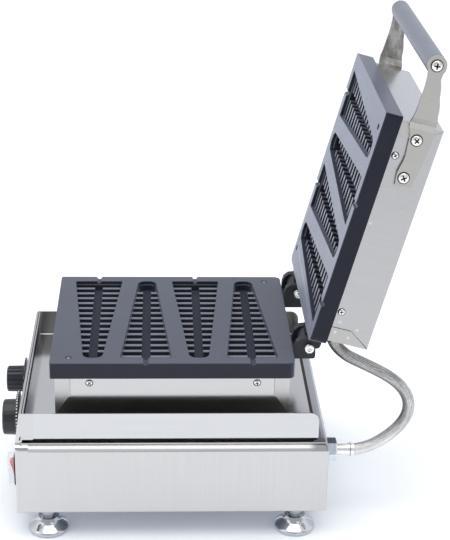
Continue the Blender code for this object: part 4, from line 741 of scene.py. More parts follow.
@dataclass
class Finishes:
    """Every finish of the machine, made once."""

    lid_face: float
    tray_front: float
    rear: float
    made: dict[str, bpy.types.Material] = field(default_factory=dict)

    def __post_init__(self) -> None:
        """Makes the materials."""
        upright, lengthwise, flatwise = (1300, 1300, 7), (1300, 7, 1300), (7, 1300, 7)
        finishes = [
            ShellSheet("body_sheet", rear=self.rear),
            TraySheet("tray_sheet", (0.575, 0.575, 0.58), lengthwise, 0.15, front=self.tray_front),
            BrushedSheet("cover_sheet", (0.525, 0.52, 0.52), lengthwise, 0.17),
            BrushedSheet("flap_sheet", (0.56, 0.55, 0.535), upright, 0.4),
            BrushedSheet("lid_flap_sheet", (0.44, 0.43, 0.415), lengthwise, 0.34, OPEN_ANGLE),
            LidSheet("lid_sheet", (0.43, 0.425, 0.42), flatwise, 0.26, OPEN_ANGLE),
            StrapSheet("strap_sheet", (0.41, 0.40, 0.375), flatwise, 0.3, OPEN_ANGLE),
            CoatedCasting("coated_plate"),
            CoatedCasting("coated_lid_plate", self.lid_face, 1, OPEN_ANGLE, sheen=0.7, nap=0.35),
            Plated("bright_chrome", (0.55, 0.565, 0.60), 0.05),
            Plated("nickel_screw", (0.84, 0.83, 0.81), 0.12),
            Plated("crimped_steel", (0.90, 0.885, 0.86), 0.22),
            BlueZinc("blue_zinc"),
            Plated("gun_steel", (0.20, 0.205, 0.225), 0.28),
            Moulded("recess_shade", (0.012, 0.012, 0.014), 0.6, 900, 0.04 * MM),
            Moulded("black_iron_paint", (0.006, 0.007, 0.012), 0.5, 500, 0.25 * MM),
            Moulded("bar_grey", (0.142, 0.157, 0.205), 0.34, 1100, 0.06 * MM, 0.13),
            Moulded("knob_black", (0.012, 0.013, 0.023), 0.34, 1200, 0.06 * MM),
            Moulded("gland_black", (0.02, 0.02, 0.022), 0.45, 900),
            Moulded("rocker_red", (0.72, 0.012, 0.02), 0.22, 800, 0.03 * MM, 0.08, 0.4),
            Moulded("mark_white", (0.82, 0.82, 0.80), 0.5, 700, 0.03 * MM, 0.05),
            Moulded("soft_rubber", (0.07, 0.066, 0.06), 0.8, 500, 0.2 * MM),
            Moulded("fibre_board", (0.72, 0.69, 0.62), 0.9, 300, 0.4 * MM, 0.1),
            Moulded("pale_nylon", (0.70, 0.70, 0.66), 0.45, 700, 0.05 * MM, 0.05),
            Moulded("heater_sheath", (0.03, 0.028, 0.027), 0.55, 600, 0.1 * MM),
            ClearVinyl("clear_vinyl"),
            LampLens("green_lens", (0.05, 0.6, 0.15)),
            LampLens("amber_lens", (0.9, 0.4, 0.03)),
            SteelBraid("woven_steel"),
            HeatTint("weld_tint"),
        ]
        self.made = {finish.name: finish.make() for finish in finishes}

    def wear(self, obj: bpy.types.Object, *names: str) -> None:
        """Puts finishes on an object.

        Args:
            obj: the object.
            names: the finishes, in the order of its faces' material numbers.
        """
        slots = obj.data.materials
        while len(slots) < len(names):
            slots.append(None)
        for index in range(len(slots)):
            slots[index] = self.made[names[min(index, len(names) - 1)]]


# Modelling


class Bench:
    """Small steps with Blender's own modelling operators."""

    @staticmethod
    def clear() -> None:
        """Leaves edit mode and selects nothing."""
        if bpy.context.object and bpy.context.object.mode != "OBJECT":
            bpy.ops.object.mode_set(mode="OBJECT")
        bpy.ops.object.select_all(action="DESELECT")

    @classmethod
    def only(cls, obj: bpy.types.Object) -> None:
        """Selects one object and makes it active.

        Args:
            obj: the object.
        """
        cls.clear()
        obj.select_set(True)
        bpy.context.view_layer.objects.active = obj

    @classmethod
    def drum(cls, name: str, radius: float, depth: float, sides: int = 32) -> bpy.types.Object:
        """A cylinder that stands on the origin along +Z.

        Args:
            name: the object's name.
            radius: its radius in metres.
            depth: its height in metres.
            sides: how many sides.

        Returns:
            The new object.
        """
        cls.clear()
        bpy.ops.mesh.primitive_cylinder_add(
            vertices=sides, radius=radius, depth=depth, location=(0, 0, depth / 2)
        )
        made = bpy.context.object
        made.name = made.data.name = name
        return cls.settle(made)

    @staticmethod
    def lathe(
        name: str, profile: list[Spot], closed: bool = False, sides: int = 72
    ) -> bpy.types.Object:
        """A turned piece about +Z.

        Args:
            name: the object's name.
            profile: (radius, height) points, from the axis back to the axis unless it is closed.
            closed: the profile is a loop clear of the axis.
            sides: how many steps round.

        Returns:
            The new object.
        """
        mesh = bmesh.new()
        rings = []
        for radius, height in profile:
            turns = [FULL_TURN * n / sides for n in range(sides if radius else 1)]
            spots = [(radius * math.cos(t), radius * math.sin(t), height) for t in turns]
            rings.append([mesh.verts.new(spot) for spot in spots])
        pairs = list(zip(rings, rings[1:])) + ([(rings[-1], rings[0])] if closed else [])
        for one, two in pairs:
            for a in range(sides):
                b = (a + 1) % sides
                corners = [one[a % len(one)], one[b % len(one)]]
                corners += [two[b % len(two)], two[a % len(two)]]
                mesh.faces.new(list(dict.fromkeys(corners)))
        return Bench.bake(name, mesh)

    @staticmethod
    def slab(name: str, outline: list[Spot], low: float, high: float) -> bpy.types.Object:
        """A flat piece.

        Args:
            name: the object's name.
            outline: (y, z) corners.
            low: the x of one face.
            high: the x of the other face.

        Returns:
            The new object.
        """
        mesh = bmesh.new()
        rings = [[mesh.verts.new((x, y, z)) for y, z in outline] for x in (low, high)]
        count = len(outline)
        for ring in rings:
            mesh.faces.new(ring)
        for n in range(count):
            m = (n + 1) % count
            mesh.faces.new((rings[0][n], rings[0][m], rings[1][m], rings[1][n]))
        return Bench.bake(name, mesh)

    @staticmethod
    def bake(name: str, mesh: bmesh.types.BMesh) -> bpy.types.Object:
        """Makes an object of a mesh that is being built, its faces turned outwards.

        Args:
            name: the object's name.
            mesh: the mesh, which is used up.

        Returns:
            The new object.
        """
        bmesh.ops.recalc_face_normals(mesh, faces=mesh.faces)
        data = bpy.data.meshes.new(name)
        mesh.to_mesh(data)
        mesh.free()
        made = bpy.data.objects.new(name, data)
        bpy.context.scene.collection.objects.link(made)
        return made

    @classmethod
    def block(cls, name: str, size: Vector, middle: Vector) -> bpy.types.Object:
        """A box.

        Args:
            name: the object's name.
            size: its three sizes.
            middle: its centre.

        Returns:
            The new object.
        """
        cls.clear()
        bpy.ops.mesh.primitive_cube_add(size=1, location=middle)
        made = bpy.context.object
        made.scale = size
        made.name = made.data.name = name
        return cls.settle(made)

    @classmethod
    def settle(cls, obj: bpy.types.Object) -> bpy.types.Object:
        """Applies an object's place, turn and scale to its mesh.

        Args:
            obj: the object.

        Returns:
            The same object.
        """
        cls.only(obj)
        bpy.ops.object.transform_apply(location=True, rotation=True, scale=True)
        return obj

    @staticmethod
    def pick(obj: bpy.types.Object, test: Callable[[Vector, Vector], bool]) -> None:
        """Selects faces in edit mode.

        Args:
            obj: the object being edited.
            test: tells from a face's centre and normal if it is wanted.
        """
        bpy.ops.mesh.select_mode(type="FACE")
        bpy.ops.mesh.select_all(action="DESELECT")
        mesh = bmesh.from_edit_mesh(obj.data)
        for face in mesh.faces:
            face.select_set(test(face.calc_center_median(), face.normal))
        bmesh.update_edit_mesh(obj.data)

    @classmethod
    def crown(cls, obj: bpy.types.Object, steps: list[Spot]) -> bpy.types.Object:
        """Builds up the top face.

        Args:
            obj: a piece with a flat top.
            steps: (how far in, how far up) of each new ring.

        Returns:
            The same object.
        """
        cls.only(obj)
        bpy.ops.object.mode_set(mode="EDIT")
        top = max(v.co.z for v in obj.data.vertices)
        cls.pick(obj, lambda centre, normal: normal.z > 0.9 and centre.z > top - FIT)
        for inward, up in steps:
            bpy.ops.mesh.inset(thickness=inward, depth=up)
        bpy.ops.object.mode_set(mode="OBJECT")
        return obj

    @staticmethod
    def bevel(obj: bpy.types.Object, width: float, segments: int, angle: float) -> str:
        """Adds a bevel that rounds the sharp edges.

        Args:
            obj: the piece.
            width: the bevel's width.
            segments: its steps.
            angle: how many degrees an edge turns through at least to be rounded.

        Returns:
            The modifier's name.
        """
        bevel = obj.modifiers.new("edges", "BEVEL")
        bevel.width = width
        bevel.segments = segments
        bevel.limit_method = "ANGLE"
        bevel.angle_limit = math.radians(angle)
        return bevel.name

    @classmethod
    def round_edges(
        cls, obj: bpy.types.Object, width: float, segments: int = 2
    ) -> bpy.types.Object:
        """Bevels the sharp edges with an applied modifier.

        Args:
            obj: the piece.
            width: the bevel's width.
            segments: its steps.

        Returns:
            The same object.
        """
        cls.only(obj)
        bpy.ops.object.modifier_apply(modifier=cls.bevel(obj, width, segments, 35))
        return obj

    @classmethod
    def carve(cls, obj: bpy.types.Object, cutter: bpy.types.Object) -> bpy.types.Object:
        """Takes a cutter's shape out of a piece.

        Args:
            obj: the piece.
            cutter: the cutter, which is deleted.

        Returns:
            The same object.
        """
        cls.only(obj)
        boolean = obj.modifiers.new("carve", "BOOLEAN")
        boolean.object = cutter
        boolean.operation = "DIFFERENCE"
        boolean.solver = "EXACT"
        bpy.ops.object.modifier_apply(modifier=boolean.name)
        bpy.data.objects.remove(cutter, do_unlink=True)
        return obj

    @classmethod
    def join(cls, first: bpy.types.Object, *others: bpy.types.Object) -> bpy.types.Object:
        """Makes several pieces one, under the first one's name.

        Args:
            first: the piece that the others join.
            others: the other pieces, which are used up.

        Returns:
            The first piece.
        """
        cls.clear()
        for obj in (first, *others):
            obj.select_set(True)
        bpy.context.view_layer.objects.active = first
        bpy.ops.object.join()
        return first

    @staticmethod
    def paint(obj: bpy.types.Object, test: Callable[[Vector], bool]) -> bpy.types.Object:
        """Gives some faces the second finish.

        Args:
            obj: the piece.
            test: tells from a face's centre if it wears the second finish.

        Returns:
            The same object.
        """
        for face in obj.data.polygons:
            face.material_index = int(test(face.center))
        return obj

    @classmethod
    def smooth(cls, obj: bpy.types.Object, angle: float = 35) -> bpy.types.Object:
        """Shades a piece smooth.

        Args:
            obj: the piece.
            angle: edges that turn through fewer degrees look smooth.

        Returns:
            The same object.
        """
        cls.only(obj)
        bpy.ops.object.shade_smooth_by_angle(angle=math.radians(angle))
        return obj

    @staticmethod
    def copy(obj: bpy.types.Object, name: str, matrix: Matrix) -> bpy.types.Object:
        """A copy with its own mesh, moved in its mesh.

        Args:
            obj: what is copied.
            name: the copy's name.
            matrix: where it goes.

        Returns:
            The copy.
        """
        made = obj.copy()
        made.data = obj.data.copy()
        made.name = made.data.name = name
        made.data.transform(matrix)
        bpy.context.scene.collection.objects.link(made)
        return made


@dataclass
class Machine:
    """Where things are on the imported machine, in the record's frame."""

    finishes: Finishes | None = None
    half_body: float = 180
    deck_wall: float = -175.75
    plate_face: float = 216.3
    shift: float = 0
    hinge_y: float = 0
    hinge_z: float = 0
    done: list[str] = field(default_factory=list)

    def __post_init__(self) -> None:
        """Reads the frame's places from its nodes."""
        self.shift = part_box("body_shell")[1].y - self.half_body * MM
        _, self.hinge_y, self.hinge_z = self.middle("hinge_bolt_right")

    @staticmethod
    def middle(name: str) -> tuple[float, float, float]:
        """The centre of a node's box."""
        return tuple((low + high) / 2 for low, high in zip(*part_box(name)))

    def at(self, x: float, y: float, z: float) -> Vector:
        """A place in the record's frame, in metres, from millimetres about the body's middle."""
        return Vector((x * MM, y * MM + self.shift, z * MM))

    def side_on(self, outline: list[Spot]) -> list[Spot]:
        """An outline seen from the side, in metres in the record's frame: (y, z) corners."""
        return [tuple(self.at(0, y, z))[1:] for y, z in outline]

    def tray_front(self) -> float:
        """Where the deck's front wall stands on its floor."""
        return self.at(0, self.deck_wall, 0).y

    def rear(self) -> float:
        """Where the body's rear wall is."""
        return self.at(0, self.half_body, 0).y

    def lid_face(self) -> float:
        """How high the lid plate's face is once its open place is turned back about X."""
        back = Matrix.Rotation(OPEN_ANGLE, 4, "X")
        return (back @ self.opened() @ self.at(0, 0, self.plate_face)).z

    def opened(self) -> Matrix:
        """The turn from the closed lid to the lid at rest.

        Returns:
            A turn about the hinge's axis.
        """
        pivot = Vector((0, self.hinge_y, self.hinge_z))
        turn = Matrix.Rotation(-OPEN_ANGLE, 4, "X")
        return Matrix.Translation(pivot) @ turn @ Matrix.Translation(-pivot)

    def keep(self, obj: bpy.types.Object, body: Body, slot: str, *finishes: str) -> None:
        """Dresses a new piece and puts it on its body.

        Args:
            obj: the piece, in its place.
            body: what it rides on.
            slot: the record's material slot, which is not used.
            finishes: the finishes it wears.
        """
        self.finishes.wear(obj, *finishes)
        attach(obj, body.value)
        self.done.append(obj.name)
        LOG.info("made %s on %s", obj.name, body.value)


# The CAD nodes' own dress


@dataclass
class Bodywork:
    """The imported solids: each gets its finish, and the sharp ones a broken edge."""

    machine: Machine
    wardrobe: dict[str, tuple[str, ...]] = field(
        default_factory=lambda: {
            "body_sheet": ("body_shell", "front_panel", "bottom_plate", "lower_pedestal"),
            "tray_sheet": ("deck_tray", "lower_clamp_plate", "upper_clamp_plate"),
            "lid_sheet": ("upper_cover",),
            "cover_sheet": ("lower_cover",),
            "strap_sheet": ("handle_strap_left", "handle_strap_right"),
            "coated_plate": ("lower_plate",),
            "coated_lid_plate": ("upper_plate",),
            "bright_chrome": (
                "foot_front_left",
                "foot_front_right",
                "foot_rear_left",
                "foot_rear_right",
                "timer_shaft",
                "thermostat_shaft",
                "sensor_bulb",
                "hinge_nut_left",
                "hinge_nut_right",
            ),
            "nickel_screw": ("hinge_bolt_left", "hinge_bolt_right"),
            "crimped_steel": ("hose_ferrule",),
            "blue_zinc": ("hose_nut",),
            "black_iron_paint": (
                "hinge_bracket_left",
                "hinge_bracket_right",
                "hinge_knuckle_left",
                "hinge_knuckle_right",
            ),
            "bar_grey": ("handle_bar",),
            "knob_black": ("timer_knob", "thermostat_knob", "switch_housing"),
            "gland_black": ("mains_gland",),
            "rocker_red": ("switch_rocker",),
            "clear_vinyl": ("switch_boot",),
            "soft_rubber": ("deck_gasket", "lid_boot"),
            "fibre_board": ("lower_insulation", "upper_insulation"),
            "pale_nylon": ("timer_body", "thermostat_body", "terminal_block"),
            "heater_sheath": ("lower_element", "upper_element"),
            "green_lens": ("pilot_lamp_heat",),
            "amber_lens": ("pilot_lamp_timer",),
        }
    )
    edges: dict[str, float] = field(
        default_factory=lambda: {
            "lower_plate": 0.3,
            "upper_plate": 0.3,
            "hinge_bracket_left": 0.8,
            "hinge_bracket_right": 0.8,
            "hinge_knuckle_left": 0.6,
            "hinge_knuckle_right": 0.6,
            "handle_strap_left": 0.4,
            "handle_strap_right": 0.4,
            "handle_bar": 0.3,
            "timer_knob": 0.3,
            "hose_nut": 0.4,
            "switch_rocker": 0.3,
            "switch_housing": 0.3,
        }
    )

    def dress(self, nodes: dict[str, bpy.types.Object]) -> None:
        """Gives every node its finish.

        Args:
            nodes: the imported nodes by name.
        """
        for finish, names in self.wardrobe.items():
            for name in names:
                if name in nodes:
                    self.machine.finishes.wear(nodes[name], finish)
        for name, width in self.edges.items():
            if name in nodes:
                self.break_edges(nodes[name], width * MM)
        LOG.info("dressed %d nodes", len(nodes))

    @staticmethod
    def break_edges(node: bpy.types.Object, width: float) -> None:
        """Welds a node's loose triangles for show and rounds its sharp edges.

        Args:
            node: the CAD node, whose own mesh stays as it is.
            width: the bevel's width in metres.
        """
        weld = node.modifiers.new("weld", "WELD")
        weld.merge_threshold = 0.02 * MM
        Bench.bevel(node, width, 2, 38)


# Fasteners


@dataclass
class Fasteners:
    """The crosshead screws, the hinge bolts' socket heads, the centring pins and the spot welds.

    Steps are (how far in, how far up), shares are of a head's radius and height, and places are
    in millimetres about the body's middle, with the lid shut.
    """

    machine: Machine
    small_radius: float = 3.7 * MM
    small_height: float = 1.7 * MM
    large_radius: float = 5.7 * MM
    large_height: float = 2.6 * MM
    head_sides: int = 28
    wall_share: float = 0.45
    dome_shares: tuple[Spot, ...] = ((0.06, 0.16), (0.16, 0.2), (0.22, 0.13), (0.22, 0.06))
    recess_share: float = 0.8
    slot_shares: tuple[Spot, ...] = ((1.2, 0.3), (0.3, 1.2))
    well_share: float = 0.27
    well_sides: int = 12
    ring_share: float = 1.2
    ring_height: float = 0.15
    dark_reach: float = 0.62
    dark_levels: Spot = (0.02, 0.86)
    dark_ring: float = 1.03
    cover_end: float = 96
    cover_side: float = 117.25
    flap_side: float = 118.33
    lower_rise: float = 188.0
    upper_rise: float = 242.2
    rear_side: float = 72
    rear_rises: Spot = (108.0, 50.0)
    cap_radius: float = 5.3 * MM
    cap_height: float = 1.2 * MM
    cap_steps: tuple[Spot, ...] = ((1.0, 0.4), (1.6, 0.1), (0.05, -1.2))
    socket_radius: float = 2.75 * MM
    socket_top: float = 1.65 * MM
    pin_radius: float = 2.7 * MM
    pin_height: float = 5.7 * MM
    pin_steps: tuple[Spot, ...] = ((0.4, 0.4), (0.7, 0.2), (0.4, -0.5))
    pin_foot: float = 210.02
    pin_spots: tuple[tuple[str, float, float], ...] = (
        ("front", 108.25, -119.75),
        ("rear", -108.25, 117.75),
    )
    weld_radius: float = 2.0 * MM
    weld_height: float = 0.12 * MM
    weld_steps: tuple[Spot, ...] = ((0.5, 0.03), (0.5, -0.08))
    side_welds: tuple[Spot, ...] = ((108.6, 244.2), (113.3, 266.0), (-14.5, 240.4))
    flap_welds: tuple[Spot, ...] = ((121.4, 242.3), (124.8, 258.9))

    @staticmethod
    def stepped(steps: tuple[Spot, ...]) -> list[Spot]:
        """Steps in metres, from steps in millimetres."""
        return [(inward * MM, up * MM) for inward, up in steps]

    @staticmethod
    def spin(degrees: float) -> Matrix:
        """The turn that a screw happened to stop at."""
        return Matrix.Rotation(math.radians(degrees), 4, "Z")

    def crosshead(self, name: str, radius: float, height: float) -> bpy.types.Object:
        """A domed head with a cross recess, standing on the origin.

        Args:
            name: the object's name.
            radius: the head's radius.
            height: the head's height.

        Returns:
            The head.
        """
        head = Bench.drum(name, radius, height * self.wall_share, self.head_sides)
        Bench.crown(head, [(radius * inward, height * up) for inward, up in self.dome_shares])
        deep = height * self.recess_share
        middle = Vector((0, 0, height - deep / 2 + FIT))
        for width, length in self.slot_shares:
            size = Vector((radius * width, radius * length, deep))
            Bench.carve(head, Bench.block("recess", size, middle))
        well = Bench.drum("well", radius * self.well_share, deep * 1.1, self.well_sides)
        well.data.transform(Matrix.Translation((0, 0, height - deep)))
        Bench.carve(head, well)
        ring = height * self.ring_height
        Bench.join(head, Bench.drum("seat", radius * self.ring_share, ring, self.head_sides))
        foot, brim = (height * level for level in self.dark_levels)

        def shaded(centre: Vector) -> bool:
            """Tells if a face is dark.

            Args:
                centre: the face's centre.

            Returns:
                True in the recess and on the ring round the head.
            """
            far = math.hypot(centre.x, centre.y)
            inside = far < self.dark_reach * radius and foot < centre.z < brim
            return inside or far > self.dark_ring * radius

        Bench.paint(head, shaded)
        return Bench.smooth(head, 30)

    def drive(
        self, master: bpy.types.Object, name: str, matrix: Matrix, body: Body
    ) -> bpy.types.Object:
        """Puts a copy of a screw head in its place.

        Args:
            master: the head.
            name: the copy's name.
            matrix: where it goes.
            body: what it rides on.

        Returns:
            The copy.
        """
        piece = Bench.copy(master, name, matrix)
        self.machine.keep(piece, body, "chrome_plate", "nickel_screw", "recess_shade")
        return piece

    def covers(self) -> None:
        """The screws along both heater covers' sides, and those in the body's rear wall."""
        master = self.crosshead("cover_screw_master", self.small_radius, self.small_height)
        for side in Side:
            for index, y in enumerate((-self.cover_end, self.cover_end)):
                spin = self.spin(25 + 55 * index + 20 * side.value)
                for label, z, body in (
                    ("lower", self.lower_rise, Body.BASE),
                    ("upper", self.upper_rise, Body.LID),
                ):
                    spot = self.machine.at(side.value * self.cover_side, y, z)
                    matrix = Matrix.Translation(spot) @ side.out() @ spin
                    if body is Body.LID:
                        matrix = self.machine.opened() @ matrix
                    self.drive(master, f"{label}_cover_screw_{side.tag()}{index}", matrix, body)
        for side in LEFT_FIRST:
            for index, z in enumerate(self.rear_rises):
                spot = self.machine.at(side.value * self.rear_side, self.machine.half_body, z)
                matrix = Matrix.Translation(spot) @ Axis.REAR.turn()
                self.drive(master, f"rear_screw_{side.tag()}{index}", matrix, Body.BASE)
        bpy.data.objects.remove(master, do_unlink=True)

    def straps(self) -> None:
        """The large screws of the straps and the handle bar, with their recesses."""
        stems = ("strap_screw_front", "strap_screw_rear", "handle_screw")
        screws = [(stem, side) for stem in stems for side in LEFT_FIRST]
        master = self.crosshead("strap_screw_master", self.large_radius, self.large_height)
        for index, (stem, side) in enumerate(screws):
            name = f"{stem}_{side.word()}"
            low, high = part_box(name)
            crest = high.x if side is Side.RIGHT else low.x
            _, y, z = self.machine.middle(name)
            stand = Matrix.Translation((crest - side.value * self.large_height, y, z)) @ side.out()
            spin = self.spin(17 + 31 * index)
            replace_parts(self.drive(master, f"head_{name}", stand @ spin, Body.LID), name)
        bpy.data.objects.remove(master, do_unlink=True)

    def sockets(self) -> None:
        """A cap with a round socket on each hinge bolt's head."""
        for side in LEFT_FIRST:
            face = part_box(f"hinge_bolt_{side.word()}")[1].x
            cap = Bench.drum(f"hinge_bolt_head_{side.word()}", self.cap_radius, self.cap_height)
            Bench.crown(cap, self.stepped(self.cap_steps))
            Bench.round_edges(cap, 0.15 * MM)
            # The socket's faces wear the darker chrome: painted shade in the hole.
            Bench.paint(cap, self.in_socket)
            Bench.smooth(cap)
            spot = Vector((face - FIT, self.machine.hinge_y, self.machine.hinge_z))
            cap.data.transform(Matrix.Translation(spot) @ Axis.RIGHT.turn())
            self.machine.keep(cap, Body.BASE, "chrome_plate", "nickel_screw", "bright_chrome")

    def in_socket(self, centre: Vector) -> bool:
        """Tells if a face of a cap is in its socket, from the face's centre."""
        return math.hypot(centre.x, centre.y) < self.socket_radius and centre.z < self.socket_top

    def pins(self) -> None:
        """The two pins in the lower plate that centre the upper one."""
        for name, x, y in self.pin_spots:
            pin = Bench.drum(
                f"centring_pin_{name}", self.pin_radius, self.pin_height, self.head_sides
            )
            Bench.crown(pin, self.stepped(self.pin_steps))
            Bench.smooth(pin, 40)
            pin.data.transform(Matrix.Translation(self.machine.at(x, y, self.pin_foot)))
            self.machine.keep(pin, Body.BASE, "chrome_plate", "gun_steel")

    def welds(self) -> None:
        """Spot welds that hold the lid cover's corner flaps."""
        master = Bench.drum("weld_master", self.weld_radius, self.weld_height, 20)
        Bench.crown(master, self.stepped(self.weld_steps))
        Bench.smooth(master, 50)
        spots = [(self.cover_side, *spot) for spot in self.side_welds]
        spots += [(self.flap_side, *spot) for spot in self.flap_welds]
        for side in Side:
            for index, (x, y, z) in enumerate(spots):
                spot = self.machine.at(side.value * x, y, z)
                matrix = self.machine.opened() @ Matrix.Translation(spot) @ side.out()
                piece = Bench.copy(master, f"weld_{side.tag()}{index}", matrix)
                self.machine.keep(piece, Body.LID, "brushed_stainless", "weld_tint")
        bpy.data.objects.remove(master, do_unlink=True)

    def build(self) -> None:
        """Makes all of them."""
        self.covers()
        self.straps()
        self.sockets()
        self.pins()
        self.welds()


# Feet and sheet details


@dataclass
class Trim:
    """The turned feet, the covers' corner flaps, the thin laps and strips, and the painted shade in
    the deck's front crease.

    Profiles are (radius, height) and places are in millimetres about the body's middle, with the
    lid shut.
    """

    machine: Machine
    nut_and_stud: tuple[Spot, ...] = (
        (0, 41.5),
        (7, 41.5),
        (7, 35.5),
        (4, 35.5),
        (4, 33.7),
        (10, 33.7),
    )
    collar: tuple[Spot, ...] = ((10, 21.5), (9.6, 21.0), (7.6, 20.2), (7.6, 18.8), (9.5, 18.2))
    bell: tuple[Spot, ...] = (
        (12.0, 18.0),
        (14.43, 12.96),
        (19.01, 9.0),
        (23.01, 5.94),
        (24.3, 3.96),
        (23.87, 1.44),
        (22.44, 0.0),
    )
    bell_steps: int = 6
    bell_reach: float = 24.3
    flap_start: float = 0.2
    flap_end: float = 16.9
    flap_edge: float = 0.3
    flap_corner: float = 48.3
    flap_fold: float = 23.2
    line_width: float = 0.9
    line_crest: float = 0.1
    flap_skin: Spot = (118.2, 118.34)
    line_skin: Spot = (117.2, 117.45)
    cover_ends: Spot = (-135.75, 133.75)
    lower_edge: float = 196.2
    lid_edge: float = 236.1
    deck_floor: float = 127.72
    bead_size: tuple[float, float, float] = (286, 1.5, 0.9)
    crease_shade_middle: Spot = (0.6, 0.4)
    rim_lap: tuple[Spot, ...] = ((-176.6, 126.6), (-160.0, 126.6), (-160.0, 159.8), (-171.8, 159.8))
    rim_lap_skin: Spot = (139.1, 139.28)
    lap_bend: Spot = (138.5, 113.8)
    lap_outer: float = 7.6
    lap_inner: float = 7.3
    lap_steps: int = 8
    lap_foot: float = 35.3
    lap_ends: Spot = (-177.6, -166.0)
    strip_low: tuple[float, float, float] = (130, -175.6, 120.9)
    strip_high: tuple[float, float, float] = (140.4, 176, 122.75)

    def flare(self) -> list[Spot]:
        """The bell's profile, as one smooth curve.

        Returns:
            (radius, height) points in millimetres, from the collar down to the table.
        """
        knots = [self.bell[0], *self.bell, self.bell[-1]]
        curve = []
        for four in zip(knots, knots[1:], knots[2:], knots[3:]):
            for index in range(self.bell_steps):
                share = index / self.bell_steps
                radius, height = (between(*parts, share) for parts in zip(*four))
                curve.append((min(radius, self.bell_reach), max(height, 0.0)))
        return [*curve, self.bell[-1]]

    def feet(self) -> None:
        """Four turned bell feet in place of the plain ones."""
        points = (*self.nut_and_stud, *self.collar, *self.flare(), (0, 0))
        profile = [(radius * MM, height * MM) for radius, height in points]
        for end in ("front", "rear"):
            for side in LEFT_FIRST:
                name = f"foot_{end}_{side.word()}"
                x, y, _ = self.machine.middle(name)
                foot = Bench.lathe(f"bell_{name}", profile)
                Bench.smooth(foot, 50)
                foot.data.transform(Matrix.Translation((x, y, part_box(name)[0].z)))
                self.machine.keep(foot, Body.BASE, "chrome_plate", "bright_chrome")
                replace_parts(foot, name)

    def flap(self, label: str, end: float, inward: int, edge: float, away: int) -> None:
        """One corner flap of a cover and the dark line along it, on both sides of the machine.

        Args:
            label: the cover and its end.
            end: the y of the cover's end in millimetres.
            inward: 1 where the cover runs to the rear from there, else -1.
            edge: the z of the cover's open edge.
            away: 1 for the lid's cover and -1 for the lower one.
        """
        body = Body.LID if away > 0 else Body.BASE
        finish = "lid_flap_sheet" if away > 0 else "flap_sheet"
        near, far = end + inward * self.flap_start, end + inward * self.flap_end
        foot = edge + away * self.flap_edge
        corner = (near, edge + away * self.flap_corner)
        fold = (far, edge + away * self.flap_fold)
        face = [(near, foot), corner, fold, (far, foot)]
        out = inward * self.line_width
        crest = corner[1] + away * self.line_crest
        line = [(far + out, foot), (fold[0] + out, fold[1] + away * self.line_width / 2)]
        line += [(near + out, crest), (near, crest), fold, face[3]]
        for side in Side:
            for name, outline, skin, worn in (
                (f"{label}_flap_{side.tag()}", face, self.flap_skin, finish),
                (f"{label}_flap_line_{side.tag()}", line, self.line_skin, "recess_shade"),
            ):
                corners = self.machine.side_on(outline)
                low, high = (side.value * x * MM for x in skin)
                piece = Bench.slab(name, corners, low, high)
                if away > 0:
                    piece.data.transform(self.machine.opened())
                self.machine.keep(piece, body, "brushed_stainless", worn)

    def bead(self) -> None:
        """A dark strip, painted shade in the crease where the deck's front wall meets its floor."""
        behind, above = (part * MM for part in self.crease_shade_middle)
        spot = Vector((0, self.machine.tray_front() + behind, self.deck_floor * MM + above))
        # Painted shade in the crease along the deck's front wall.
        run = Bench.block("deck_bead", Vector([part * MM for part in self.bead_size]), spot)
        Bench.round_edges(run, 0.3 * MM)
        self.machine.keep(run, Body.BASE, "black_rubber", "recess_shade")

    def wrap(self) -> list[Spot]:
        """A corner lap seen from the front: up the body's side and round over its edge.

        Returns:
            (x, z) corners in millimetres, for the right side.
        """
        x, z = self.lap_bend
        steps = self.lap_steps
        arc = [math.radians(90 * step / steps) for step in range(steps + 1)]
        outer = [(x + self.lap_outer * math.cos(t), z + self.lap_outer * math.sin(t)) for t in arc]
        inner = [(x + self.lap_inner * math.cos(t), z + self.lap_inner * math.sin(t)) for t in arc]
        foot, heel = (x + self.lap_outer, self.lap_foot), (x + self.lap_inner, self.lap_foot)
        return [foot, *outer, *reversed(inner), heel]

    def skins(self) -> None:
        """The front panel's thin laps over the body's corners and over the rims' front ends."""
        for side in Side:
            low, high = (side.value * x * MM for x in self.rim_lap_skin)
            corners = self.machine.side_on(self.rim_lap)
            lap = Bench.slab(f"rim_lap_{side.tag()}", corners, low, high)
            self.machine.keep(lap, Body.BASE, "brushed_stainless", "body_sheet")
            outline = [(side.value * x * MM, z * MM) for x, z in self.wrap()]
            front, rear = (self.machine.at(0, y, 0).y for y in self.lap_ends)
            lap = Bench.slab(f"corner_lap_{side.tag()}", outline, -front, -rear)
            lap.data.transform(Matrix.Rotation(math.radians(-90), 4, "Z"))
            Bench.smooth(lap, 30)
            self.machine.keep(lap, Body.BASE, "brushed_stainless", "body_sheet")

    def runners(self) -> None:
        """The flat strips on the body's ledges that the deck's sides stand over."""
        for side in Side:
            low, high = self.machine.at(*self.strip_low), self.machine.at(*self.strip_high)
            middle = (low + high) / 2
            middle.x *= side.value
            strip = Bench.block(f"ledge_strip_{side.tag()}", high - low, middle)
            Bench.round_edges(strip, 0.4 * MM)
            self.machine.keep(strip, Body.BASE, "brushed_stainless", "body_sheet")

    def build(self) -> None:
        """Makes all of them."""
        self.feet()
        self.skins()
        self.runners()
        front, rear = self.cover_ends
        for label, edge, away in (("lower", self.lower_edge, -1), ("lid", self.lid_edge, 1)):
            self.flap(f"{label}_front", front, 1, edge, away)
            self.flap(f"{label}_rear", rear, -1, edge, away)
        self.bead()


# Dials


